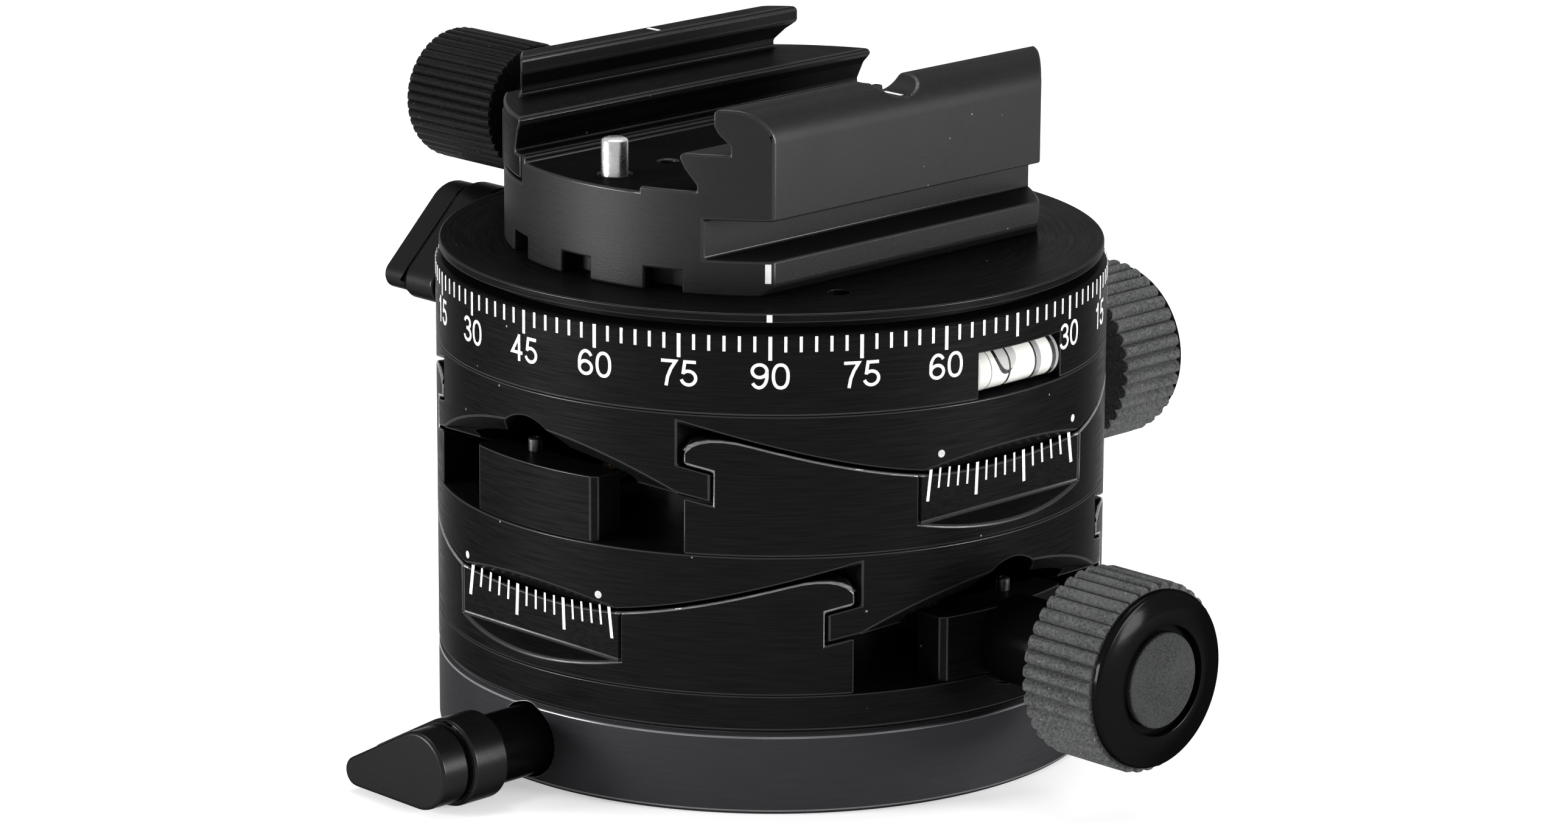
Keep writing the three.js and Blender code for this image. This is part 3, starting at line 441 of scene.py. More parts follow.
def turned_place(tree, place, around_share):
    """Coordinates in which fine marks run round the vertical axis."""
    split = node(tree, "ShaderNodeSeparateXYZ")
    tree.links.new(place, split.inputs[0])
    x, y, z = split.outputs
    across = math_node(tree, "SQRT", math_node(
        tree, "ADD", math_node(tree, "MULTIPLY", x, x), math_node(tree, "MULTIPLY", y, y)))
    angle = math_node(tree, "MULTIPLY", math_node(tree, "ARCTAN2", y, x), around_share)
    joined = node(tree, "ShaderNodeCombineXYZ")
    for i, value in enumerate([across, angle, z]):
        tree.links.new(value, joined.inputs[i])
    return joined.outputs[0]


def noise(tree, place, scale, detail=3):
    made = node(tree, "ShaderNodeTexNoise")
    made.inputs["Scale"].default_value = scale
    made.inputs["Detail"].default_value = detail
    tree.links.new(place, made.inputs["Vector"])
    return made.outputs["Fac"]


def between(tree, value, low, high, to_low, to_high):
    made = node(tree, "ShaderNodeMapRange", clamp=True)
    tree.links.new(value, made.inputs[0])
    for i, number in enumerate([low, high, to_low, to_high]):
        made.inputs[i + 1].default_value = number
    return made.outputs[0]


def blend_colours(tree, share, low, high):
    made = node(tree, "ShaderNodeMix", data_type="RGBA")
    tree.links.new(share, made.inputs["Factor"])
    for socket, value in ((made.inputs[6], low), (made.inputs[7], high)):
        if isinstance(value, tuple):
            socket.default_value = (*value, 1)
        else:
            tree.links.new(value, socket)
    return made.outputs[2]


def shaded(colour, share):
    return tuple(c * share for c in colour)


def colour_by(tree, shader, source, band, dark, light):
    mixed = blend_colours(tree, between(tree, source, *band, 0, 1), dark, light)
    tree.links.new(mixed, shader.inputs["Base Color"])


def roughen_by(tree, shader, source, low, high):
    tree.links.new(between(tree, source, *MIDDLE_BAND, low, high), shader.inputs["Roughness"])


def specks(tree, place, kept_share, scale, size_share):
    """Sparse small dots, as dust leaves them."""
    cells = node(tree, "ShaderNodeTexVoronoi")
    cells.inputs["Scale"].default_value = scale
    tree.links.new(place, cells.inputs["Vector"])
    near = math_node(tree, "LESS_THAN", cells.outputs["Distance"], size_share)
    split = node(tree, "ShaderNodeSeparateColor")
    tree.links.new(cells.outputs["Color"], split.inputs[0])
    some = math_node(tree, "GREATER_THAN", split.outputs[0], 1 - kept_share)
    return math_node(tree, "MULTIPLY", near, some)


def bump(tree, shader, source, strength, distance):
    """A bump over what the shader's normal already holds."""
    made = node(tree, "ShaderNodeBump")
    made.inputs["Strength"].default_value = strength
    made.inputs["Distance"].default_value = distance * MM
    tree.links.new(source, made.inputs["Height"])
    for link in shader.inputs["Normal"].links:
        tree.links.new(link.from_socket, made.inputs["Normal"])
    tree.links.new(made.outputs[0], shader.inputs["Normal"])


def black_metal(name, colour, roughness, lines=0.0, grain=0.0, sheen=0.6, graze=0.4, dust=0.02, spread=0.08):
    """Black anodised metal: turned lines or a blasted grain, a slight play of shine, and specks of dust."""
    material, tree, shader, plain = start_finish(name, specular=0, metal=sheen)
    shader.inputs["Specular Tint"].default_value = (graze, graze, graze, 1)
    line = noise(tree, turned_place(tree, plain, METAL.around_share), METAL.line_scale, 4)
    cloud = noise(tree, plain, METAL.cloud_scale)
    fine = noise(tree, plain, METAL.fine_scale, 2)
    dark, light = shaded(colour, 1 - METAL.dark_share * lines), shaded(colour, 1 + lines)
    surface = blend_colours(tree, between(tree, line, *METAL.line_band, 0, 1), dark, light)
    dusty = math_node(tree, "MULTIPLY", specks(tree, plain, dust, **METAL_DUST), METAL_DUST_SHARE)
    tree.links.new(blend_colours(tree, dusty, surface, DUST_COLOUR), shader.inputs["Base Color"])
    shine = between(tree, line, *MIDDLE_BAND, roughness - spread, roughness + spread)
    mottle = between(tree, cloud, *MIDDLE_BAND, *METAL.mottle_shares)
    tree.links.new(math_node(tree, "MULTIPLY", shine, mottle), shader.inputs["Roughness"])
    for source, strength in ((line, lines), (fine, grain)):
        if strength:
            bump(tree, shader, source, strength, METAL.bump)
    return material


def grainy(name, dark, light, roughness, scale, bump_strength, specular=0.3, dust=0.1):
    """A matt surface with a grain: rubber, or a moulded cap."""
    material, tree, shader, plain = start_finish(name, specular=specular)
    grain, cloud = noise(tree, plain, scale, 4), noise(tree, plain, GRAIN.cloud_scale)
    mixed = blend_colours(tree, between(tree, grain, *GRAIN.grain_band, 0, 1), dark, light)
    worn_share = between(tree, cloud, *GRAIN.worn_band, 0, GRAIN.worn_share)
    worn = blend_colours(tree, worn_share, mixed, light)
    dusty = math_node(tree, "MULTIPLY", specks(tree, plain, dust, **GRAIN_DUST), GRAIN_DUST_SHARE)
    lit = tuple(min(1, c * LIT.share + LIT.more) for c in light)
    tree.links.new(blend_colours(tree, dusty, worn, lit), shader.inputs["Base Color"])
    roughen_by(tree, shader, grain, roughness - GRAIN_ROUGHNESS.down, roughness + GRAIN_ROUGHNESS.up)
    bump(tree, shader, grain, bump_strength, GRAIN.bump)
    return material


def bright_metal(name, colour, roughness):
    material, tree, shader, plain = start_finish(name, metal=1)
    cloud, fine = noise(tree, plain, BRIGHT.cloud_scale), noise(tree, plain, BRIGHT.fine_scale, 2)
    colour_by(tree, shader, cloud, MIDDLE_BAND, shaded(colour, BRIGHT.dark_share), colour)
    roughen_by(tree, shader, fine, roughness * BRIGHT.smooth_share, roughness * BRIGHT.rough_share)
    return material


def printed(name, colour):
    material, tree, shader, plain = start_finish(name)
    worn = noise(tree, plain, PRINTED.worn_scale)
    colour_by(tree, shader, worn, PRINTED.worn_band, shaded(colour, PRINTED.dark_share), colour)
    roughen_by(tree, shader, worn, PRINTED.smooth, PRINTED.rough)
    return material


def clear_liquid(name, colour, roughness, transmission):
    material, tree, shader, plain = start_finish(name, roughness=roughness, transmission=transmission,
                                                 index=LIQUID.index)
    cloud = noise(tree, plain, LIQUID.cloud_scale, 2)
    colour_by(tree, shader, cloud, MIDDLE_BAND, shaded(colour, LIQUID.dark_share), colour)
    return material


# Finishes: colour and roughness first, then what marks the surface
turned_black = black_metal("turned_black", (0.0075, 0.0075, 0.0078), 0.34, lines=0.22, grain=0.1, sheen=0.5,
                           graze=0.47, dust=0.03)
blasted_black = black_metal("blasted_black", (0.023, 0.023, 0.0235), 0.44, lines=0.04, grain=0.7, sheen=0.75,
                            graze=0.45, dust=0.03, spread=0.03)
jaw_black = black_metal("jaw_black", (0.011, 0.011, 0.0112), 0.42, grain=0.4, graze=0.4)
# A darker copy of the clamp's finish, put on the channel's upward faces as painted shade
channel_painted_shade = black_metal("channel_painted_shade", (0.007, 0.007, 0.007), 0.4, grain=0.1, graze=0.3)
# Lighter and bluer than the other black finishes: a painted reflection of the pale floor on the base
base_black_painted_reflection = black_metal("base_black_painted_reflection", (0.031, 0.0312, 0.034), 0.42, lines=0.06, grain=0.35, spread=0.03)
# The bevels' finish is lighter than the bodies': partly worn anodising on the chamfers, partly a painted
# highlight along the edges
edge_worn_and_painted_highlight = black_metal("edge_worn_and_painted_highlight", (0.035, 0.035, 0.036), 0.3, grain=0.1, graze=0.5, dust=0)
# Lighter still on the lips' top edges and the base's chamfers: partly bare machined metal, partly a painted
# highlight
rim_bare_and_painted_highlight = black_metal("rim_bare_and_painted_highlight", (0.16, 0.16, 0.165), 0.26, lines=0.2, graze=0.8, sheen=0.7, dust=0)
gloss_black = black_metal("gloss_black", (0.006, 0.006, 0.006), 0.13, sheen=0.6, dust=0.03, spread=0.03)
lever_black = black_metal("lever_black", (0.018, 0.018, 0.0185), 0.27, grain=0.15, sheen=0.8, dust=0.015,
                          spread=0.03)
knob_black = grainy("knob_black", (0.002, 0.002, 0.0021), (0.0075, 0.0075, 0.0077), 0.5, 3500, 0.3,
                    specular=0.03)
grip_rubber = grainy("grip_rubber", (0.036, 0.037, 0.038), (0.1, 0.101, 0.102), 0.75, 3500, 0.5,
                     specular=0.05)
cap_grain = grainy("cap_grain", (0.012, 0.0125, 0.013), (0.046, 0.047, 0.048), 0.65, 5200, 0.9, specular=0.06,
                   dust=0.2)
steel = bright_metal("steel", (0.5, 0.5, 0.51), 0.26)
# A darker copy of the steel for the grub screws in their notch: painted shade
steel_painted_shade = bright_metal("steel_painted_shade", (0.11, 0.11, 0.115), 0.35)
brass = bright_metal("brass", (0.72, 0.5, 0.22), 0.3)
print_white = printed("print_white", (0.86, 0.86, 0.85))
dot_grey = printed("dot_grey", (0.55, 0.55, 0.55))
vial_pale = clear_liquid("vial_pale", (0.9, 0.91, 0.85), 0.04, 0.1)
# The bubble's grey is painted shade; the dark below draws the tube's printed lines and, as painted shade, the
# bubble's rim
vial_bubble_painted_shade = clear_liquid("vial_bubble_painted_shade", (0.5, 0.51, 0.49), 0.05, 0.1)
vial_dark_print_and_shade = clear_liquid("vial_dark_print_and_shade", (0.01, 0.01, 0.01), 0.2, 0)
vial_grey = clear_liquid("vial_grey", (0.3, 0.305, 0.31), 0.1, 0)


# The camera at the photograph's place, taken from a fit to the head's edges
LENS_PX = 9698
IMAGE_PX = 2576
SENSOR = 36
CAMERA_PLACE = (454.31, -452.21, 208.48)
CAMERA_ELEVATION = 15.14
CAMERA_AZIMUTH = 45
CAMERA_ROLL = 0.33
CLIP_START = 10


def add_camera():
    data = bpy.data.cameras.new("camera")
    data.sensor_width = SENSOR
    data.lens = SENSOR * LENS_PX / IMAGE_PX
    data.clip_start = CLIP_START * MM
    camera = bpy.data.objects.new("camera", data)
    azimuth, elevation = math.radians(CAMERA_AZIMUTH), math.radians(CAMERA_ELEVATION)
    forward = Vector((-math.sin(azimuth) * math.cos(elevation), math.cos(azimuth) * math.cos(elevation),
                      -math.sin(elevation)))
    right = forward.cross(Vector((0, 0, 1))).normalized()
    up = right.cross(forward)
    roll = math.radians(CAMERA_ROLL)
    across = right * math.cos(roll) + up * math.sin(roll)
    upright = up * math.cos(roll) - right * math.sin(roll)
    facing = Matrix((across, upright, -forward)).transposed().to_4x4()
    camera.matrix_world = Matrix.Translation(Vector(CAMERA_PLACE) * MM) @ facing
    bpy.context.scene.collection.objects.link(camera)
    bpy.context.scene.camera = camera


# A plain floor, a white surround and soft lamps. The floor ends where the lamps no longer light it to white
FLOOR_REACH = 580
FLOOR_COLOURS = ((0.86, 0.86, 0.86), (0.9, 0.9, 0.9))
FLOOR_CLOUD_SCALE = 6
FLOOR_GLOW = {"other": 0, "seen": 0.45}
SURROUND = {"other": 0.3, "seen": 1}
WHITE = (1, 1, 1, 1)
LAMP_TARGET = (0, 0, 35)
LAMPS = {
    "top_lamp": {"place": (-120, 120, 640), "size": (340, 340), "power": 3},
    "left_lamp": {"place": (-300, -545, 110), "size": (190, 200), "power": 5.2},
    "right_lamp": {"place": (590, 250, 130), "size": (200, 240), "power": 4.6},
}


def seen_by_eye(tree, other, seen):
    """One strength for what the camera sees, also through glass and in shine, and another for the rest."""
    path = node(tree, "ShaderNodeLightPath")
    eye = math_node(tree, "MAXIMUM", path.outputs["Is Camera Ray"], path.outputs["Is Transmission Ray"])
    eye = math_node(tree, "MAXIMUM", eye, path.outputs["Is Glossy Ray"])
    return between(tree, eye, 0, 1, other, seen)


def circle(radius, sides, middle=(0, 0)):
    angles = [TURN * i / sides for i in range(sides)]
    return [(middle[0] + radius * math.cos(a), middle[1] + radius * math.sin(a)) for a in angles]


def add_studio():
    scene = bpy.context.scene
    scene.view_settings.view_transform = "Standard"
    world = bpy.data.worlds.new("studio")
    scene.world = world
    world.use_nodes = True
    tree = world.node_tree
    background = tree.nodes["Background"]
    tree.links.new(seen_by_eye(tree, **SURROUND), background.inputs["Strength"])
    background.inputs["Color"].default_value = WHITE
    floor = new_object("floor", [(x, y, 0) for x, y in circle(FLOOR_REACH, FINE)], [list(range(FINE))])
    material, tree, shader, plain = start_finish("floor_pale", roughness=0.8, specular=0.1)
    soft = noise(tree, plain, FLOOR_CLOUD_SCALE, 2)
    tree.links.new(blend_colours(tree, soft, *FLOOR_COLOURS), shader.inputs["Base Color"])
    shader.inputs["Emission Color"].default_value = WHITE
    tree.links.new(seen_by_eye(tree, **FLOOR_GLOW), shader.inputs["Emission Strength"])
    floor.data.materials.append(material)


def add_lamp(name, place, size, power):
    data = bpy.data.lights.new(name, "AREA")
    data.shape = "RECTANGLE"
    data.size, data.size_y = (s * MM for s in size)
    data.energy = power
    lamp = bpy.data.objects.new(name, data)
    lamp.location = Vector(place) * MM
    lamp.rotation_euler = (Vector(LAMP_TARGET) - Vector(place)).to_track_quat("-Z", "Y").to_euler()
    bpy.context.scene.collection.objects.link(lamp)


# The base: a turned disc, and the plate that turns on it
BASE = Sizes(rim=0.5, bore=7.2, floor=3, lock_bore=4.2)
PLATE_RIM = 0.3
SPIGOT_BORE = 12
SPIGOT_RISE = 1
KNOB_ROOM = Sizes(radius=5.2, depth=0.6)
LOCK_BORE_DEPTH = 5.5
LOCK_HEIGHT = 4.9
TURNED_BEVEL = 0.12
SHAFT_HEIGHT = 3.5


def add_base():
    rim, floor, bore, recess = BASE.rim, BASE.floor, BASE.bore, SPIGOT + GAP
    body = lathe([(bore, 0), (BODY - rim, 0), (BODY, rim), (BODY, BASE_HEIGHT - rim),
                  (BODY - rim, BASE_HEIGHT), (recess, BASE_HEIGHT), (recess, floor), (bore, floor)],
                 closed=True)
    lock_bore = turn(drill(BASE.lock_bore, BODY - LOCK_BORE_DEPTH, BODY + OVERRUN, LOCK_HEIGHT), -90)
    body = round_edges(cut(body, lock_bore), TURNED_BEVEL, radii=(BODY, recess))
    # The base's lighter finish is a painted reflection of the floor; its chamfers take the lighter rim
    # finish, partly a painted highlight
    dress(body, "base_body", "base", "black_anodised", base_black_painted_reflection, ["base_disc"], rim_bare_and_painted_highlight)
    low = BASE_HEIGHT + SEAM
    plate = lathe([(0, low), (BODY - PLATE_RIM, low), (BODY, low + PLATE_RIM), (BODY, LOWER), (0, LOWER)])
    spigot = tube(SPIGOT_BORE, SPIGOT, floor + GAP, BASE_HEIGHT + SPIGOT_RISE, FINE)
    room = drill(KNOB_ROOM.radius, BODY - KNOB_ROOM.depth, BODY + OVERRUN, LOWER + SHAFT_HEIGHT)
    plate = round_edges(cut(join(plate, spigot), room), TURNED_BEVEL, radii=(BODY, SPIGOT))
    dress(plate, "turntable_plate", "turntable", "black_anodised", turned_black, ["ring_plate"], edge_worn_and_painted_highlight)


# The arc guide of one stage, in the plane of its channel
PLATE_WALL = 18.35
PLATE_INNER = BODY - PLATE_WALL
PLATE_BEVEL = 0.26
LIP_LOW = 7.3
LIP_RISE = 6.86
LIP_CORNER = 4.5
LIP_HALF = math.sqrt(BODY ** 2 - PLATE_INNER ** 2)
LIP_REACH = (LIP_HALF ** 2 + LIP_RISE ** 2) / (2 * LIP_RISE)
AXIS = LIP_LOW + LIP_REACH
GROOVE_START = 3.8
GROOVE_WIDTH = 3.4
GROOVE_DEPTH = 2.7
SKIRT_GAP = 0.4
STEM_GAP = 0.65
STEM_START = 7
POCKET_FLAT = BODY - 2.2
POCKET_HALF = 12.6
POCKET_FLOOR = 2.8
POCKET_LIP = 1.4
RIM_HIGHLIGHT_LOW = LIP_LOW - 1


def arc_points(reach, half):
    lean = math.asin(min(1, half / reach))
    angles = [-lean + 2 * lean * i / ARC_STEPS for i in range(ARC_STEPS + 1)]
    return [(reach * math.sin(angle), AXIS - reach * math.cos(angle)) for angle in angles]


def above_arc(reach, half, top):
    return arc_points(reach, half) + [(half, top), (-half, top)]


def arc_band(inner, outer, half):
    return arc_points(outer, half) + arc_points(inner, inner * half / outer)[::-1]


def curve(start, control, end, steps=8):
    """A quadratic curve's points after its start."""
    points = []
    for i in range(1, steps + 1):
        t = i / steps
        points.append(tuple(
            (1 - t) ** 2 * a + 2 * t * (1 - t) * b + t * t * c for a, b, c in zip(start, control, end)))
    return points


def plate_outline():
    half, corner, end = LIP_HALF + FIT, LIP_HALF - LIP_CORNER, LIP_LOW + LIP_RISE
    arc = arc_points(LIP_REACH, corner)
    right = curve((half, end - LIP_CORNER), (half, end), arc[-1])
    left = [(-x, z) for x, z in right][::-1]
    far = half + OVERRUN
    return [(-far, 0), (far, 0), (far, end - LIP_CORNER), (half, end - LIP_CORNER), *right, *arc[::-1][1:-1],
            *left, (-half, end - LIP_CORNER), (-far, end - LIP_CORNER)]


def side_plate(side):
    wall = prism(plate_outline(), "y", PLATE_INNER, BODY + OVERRUN)
    wall = common(wall, rod(BODY, 0, PITCH + OVERRUN, FINE))
    groove_low = LIP_REACH + GROOVE_START
    groove = prism(arc_band(groove_low, groove_low + GROOVE_WIDTH, BODY), "y", PLATE_INNER - OVERRUN,
                   PLATE_INNER + GROOVE_DEPTH)
    slope = (POCKET_FLOOR - POCKET_LIP) / (BODY - POCKET_FLAT)
    out = BODY + OVERRUN
    window = prism([(POCKET_FLAT, POCKET_FLOOR), (out, POCKET_FLOOR - slope * (out - POCKET_FLAT)),
                    (out, PITCH), (POCKET_FLAT, PITCH)], "x", -POCKET_HALF, POCKET_HALF)
    plate = round_edges(cut(wall, groove, window), PLATE_BEVEL, radii=(BODY,))
    return plate if side > 0 else turn(plate, 180)


# The blocks at the ends of the channel, each with a grub screw
BLOCK = Sizes(half=9.5, face_half=8.85, depth=4.9, height=7.3, face_steps=6)
NEAR_BORE = Sizes(radius=3, end=BODY + OVERRUN)
FAR_BORE = Sizes(radius=1.8, end=BODY - 1.3)
BLOCK_BORE_START = BODY - 8
GRUB_X = BODY - 4.5
GRUB_Y = 3.2
GRUB = Sizes(low=5.7, top=8.7, radius=0.75, chamfer=0.15, socket=0.35, socket_depth=0.6,
             hole=0.95, hole_top=9)


def end_block(bore):
    outer, face_half, half = BODY - GAP, BLOCK.face_half, BLOCK.half
    lean = math.asin(face_half / outer)
    bevel_end = outer * math.cos(lean) - (half - face_half)
    inner, steps = outer - BLOCK.depth, BLOCK.face_steps
    angles = [lean * (i / steps - 1) for i in range(2 * steps + 1)]
    face = [(outer * math.cos(a), outer * math.sin(a)) for a in angles]
    outline = [(inner, -half), (bevel_end, -half), *face, (bevel_end, half), (inner, half)]
    grub_hole = move(rod(GRUB.hole, GRUB.low, GRUB.hole_top, TINY), GRUB_X, GRUB_Y)
    block = cut(prism(outline, "z", 0, BLOCK.height), grub_hole)
    return cut(block, drill(bore.radius, BLOCK_BORE_START, bore.end, SHAFT_HEIGHT, SMALL))


def grub():
    radius, top, chamfer, socket = GRUB.radius, GRUB.top, GRUB.chamfer, GRUB.socket
    body = lathe([(0, GRUB.low), (radius, GRUB.low), (radius, top - chamfer), (radius - chamfer, top),
                  (socket, top), (socket, top - GRUB.socket_depth), (0, top - GRUB.socket_depth)], TINY)
    return move(smooth(body), GRUB_X, GRUB_Y)


# Knobs: a ribbed sleeve, a hub with a glossy ring, and a cap disc
RIB_POWER = 0.85
ROUND_SHARES = [(0, 0.9), (0.25, 0.35), (1, 0)]
RIB_ROUND_SHARE = 0.8
POINTS_PER_RIB = 10
GRIP = {"radius": 10.5, "depth": 0.85, "ribs": 38, "bore": 6.1, "round_by": 0.45}
GRIP_START = BODY + 11
GRIP_END = GRIP_START + 9.4
RING_AT = GRIP_END + 1
FACE_AT = RING_AT + 0.6
HUB = Sizes(bore=1.7, neck=4.9, chamfer=0.2, neck_length=6.6, collar=5.25, slope=0.3,
            core=5.9, seam=0.05, ring=9.8, ring_gap=0.1, ring_chamfer=(0.2, 0.15), ring_round=0.4,
            dome_width=3.2, dome_steps=6, face=6.1, face_sink=0.05, cap_depth=0.9)
CAP = Sizes(radius=5.25, chamfer=0.1, depth=0.85, round_by=0.25, round_steps=3)


def knob_grip(radius, depth, ribs, bore, round_by, start, end):
    """A ribbed sleeve along X, whose ribs fade into its rounded ends."""
    around = ribs * POINTS_PER_RIB
    stations = [(start + round_by * along, round_by * inward) for along, inward in ROUND_SHARES]
    stations += [(end - round_by * along, round_by * inward) for along, inward in ROUND_SHARES[::-1]]
    verts, faces = [], []
    for x, inset in stations:
        for i in range(around):
            wave = max(0, math.sin(math.pi * (i % POINTS_PER_RIB) / POINTS_PER_RIB)) ** RIB_POWER
            r = min(radius - depth * (1 - wave), radius - inset * RIB_ROUND_SHARE)
            angle = TURN * i / around
            verts.append((x, r * math.cos(angle), r * math.sin(angle)))
    for x in (end, start):
        verts += [(x, y, z) for y, z in circle(bore, around)]
    rows = len(stations) + 2
    for s in range(rows):
        low, high = s * around, (s + 1) % rows * around
        for i in range(around):
            j = (i + 1) % around
            faces.append([low + i, low + j, high + j, high + i])
    return smooth(tidy_normals(new_object("grip", verts, faces)), 40)


def round_corner(radius, at, size, steps=5):
    """Points of a rounded outer edge, from the side to the face."""
    return [(radius - size + size * math.cos(a), at - size + size * math.sin(a))
            for a in (math.pi / 2 * i / steps for i in range(steps + 1))]


def knob_hub():
    neck, collar, core, ring, bore, chamfer = HUB.neck, HUB.collar, HUB.core, HUB.ring, HUB.bore, HUB.chamfer
    neck_end = BODY + HUB.neck_length
    grip_low, ring_low = GRIP_START - HUB.seam, GRIP_END + HUB.ring_gap
    cap_low = FACE_AT - HUB.cap_depth
    inward, upward = HUB.ring_chamfer
    steps = HUB.dome_steps
    dome = [(ring - HUB.ring_round - HUB.dome_width * i / steps,
             RING_AT + (FACE_AT - RING_AT) * math.sin(math.pi / 2 * i / steps)) for i in range(1, steps + 1)]
    profile = [(bore, BODY), (neck - chamfer, BODY), (neck, BODY + chamfer), (neck, neck_end),
               (collar, neck_end + HUB.slope), (collar, grip_low), (core, grip_low), (core, ring_low),
               (ring - inward, ring_low), (ring, ring_low + upward),
               *round_corner(ring, RING_AT, HUB.ring_round), *dome,
               (HUB.face, FACE_AT - HUB.face_sink), (HUB.face, cap_low), (bore, cap_low)]
    return smooth(to_x(lathe(profile, MID, closed=True)), 35)


def knob_cap():
    low, radius = FACE_AT - CAP.depth, CAP.radius
    corner = round_corner(radius, FACE_AT - HUB.face_sink, CAP.round_by, CAP.round_steps)
    return smooth(to_x(lathe([(0, low), (radius - CAP.chamfer, low), *corner, (0, FACE_AT)], MID)))


# The carriage, which rides in the arc grooves and carries the next level
CARRIAGE = Sizes(wall=1.8, half=12.5, roof=11.5, tunnel=5.5, tunnel_height=7.05, bevel=0.16)
END_SLOPE = {"depth": 4.9, "low": 6.8, "high": 11.7}
SIDE_SLOPE = {"depth": 3.3, "low": 7.7, "high": 10.1}


def sloped(depth, low, high):
    """The outline of a cut under a roof that rises outwards."""
    inside, out = BODY - depth, BODY + OVERRUN
    end = low + (high - low) / depth * (out - inside)
    return [(inside, -OVERRUN), (out, -OVERRUN), (out, end), (inside, low)]


def carriage():
    span, stem = BODY + OVERRUN, PLATE_INNER - STEM_GAP
    skirt_half = math.sqrt(BODY ** 2 - stem ** 2) + SEAM
    body = prism(above_arc(LIP_REACH - SKIRT_GAP, skirt_half, PITCH), "y", -span, span)
    middle = prism(above_arc(LIP_REACH + STEM_START, span, PITCH), "y", -stem, stem)
    reach, groove_low = PLATE_INNER + GROOVE_DEPTH - GAP, LIP_REACH + GROOVE_START
    tongue = prism(arc_band(groove_low + GAP, groove_low + GROOVE_WIDTH - GAP, span), "y", -reach, reach)
    body = common(join(body, middle, tongue), rod(BODY, 0, PITCH, FINE))
    inner, half, roof = BODY - CARRIAGE.wall, CARRIAGE.half, CARRIAGE.roof
    room = box((-span, -half, -OVERRUN), (span, half, roof + OVERRUN))
    hollow = common(rod(inner, -OVERRUN, roof, FINE), room)
    end_cut = prism(sloped(**END_SLOPE), "y", -stem - OVERRUN, stem + OVERRUN)
    side_cut = prism(sloped(**SIDE_SLOPE), "x", -POCKET_HALF, POCKET_HALF)
    tunnel = drill(CARRIAGE.tunnel, -span, span, CARRIAGE.tunnel_height)
    body = cut(body, hollow, mirror(twin(end_cut), "X"), end_cut, mirror(twin(side_cut), "Y"), side_cut,
               tunnel)
    return round_edges(body, CARRIAGE.bevel, radii=(BODY, inner))


# Print: thin blocks on a flat, or wrapped on a round
PRINT = 0.03
BOX_FACES = [(0, 1, 2, 3), (7, 6, 5, 4), (0, 4, 5, 1), (1, 5, 6, 2), (2, 6, 7, 3), (3, 7, 4, 0)]
TICKS = 15
TICK_DEGREES = 1.06
TICK_INSET = 0.6
TICK_THICK = 0.02
LONG_EVERY = 5
LONG_TICK = Sizes(length=3.6, half=0.22)
SHORT_TICK = Sizes(length=2.2, half=0.14)
DOT = 0.42


def on_round(points, radius):
    """A flat shape's points, wrapped on the body: along becomes the angle. Gives a face and its back."""
    verts = []
    for depth in (radius + PRINT, radius - PRINT):
        for along, height in points:
            angle = along / radius
            verts.append((depth * math.sin(angle), -depth * math.cos(angle), height))
    return verts


def box_on_round(along, half, low, high, radius=BODY):
    corners = [(along - half, low), (along + half, low), (along + half, high), (along - half, high)]
    return on_round(corners, radius)


def add_block(verts, faces, corners):
    """Adds a block from the four corners of its face and the four of its back."""
    faces += [[len(verts) + k for k in face] for face in BOX_FACES]
    verts += corners


def tilt_marks(side):
    """White ticks on the flat, which lean as rays from the tilt axis do."""
    verts, faces = [], []
    top = LIP_REACH - TICK_INSET
    for i in range(TICKS + 1):
        angle = math.radians((i - TICKS / 2) * TICK_DEGREES)
        tick = SHORT_TICK if i % LONG_EVERY else LONG_TICK
        half, end = tick.half, top + tick.length
        corners = []
        for face in (POCKET_FLAT + TICK_THICK, POCKET_FLAT):
            for reach, across in ((top, -half), (top, half), (end, half), (end, -half)):
                corners.append((reach * math.sin(angle) + across * math.cos(angle), face,
                                AXIS - reach * math.cos(angle) + across * math.sin(angle)))
        add_block(verts, faces, corners)
    marks = tidy_normals(new_object("ticks", verts, faces))
    return marks if side > 0 else turn(marks, 180)


def add_dots(body, name, places):
    verts, faces = [], []
    for azimuth, height in places:
        start = len(verts)
        verts += on_round(circle(DOT, TINY, (BODY * math.radians(azimuth), height)), BODY)
        front = [start + i for i in range(TINY)]
        back = [i + TINY for i in front]
        faces += [front, back]
        faces += [[front[i - 1], front[i], back[i], back[i - 1]] for i in range(TINY)]
    dress(tidy_normals(new_object(name, verts, faces)), name, body, "black_anodised", dot_grey)


# One tilting stage: plates, blocks, carriage and knob
def on_rim(middle):
    return math.hypot(middle.x, middle.y) > BODY - PLATE_RIM


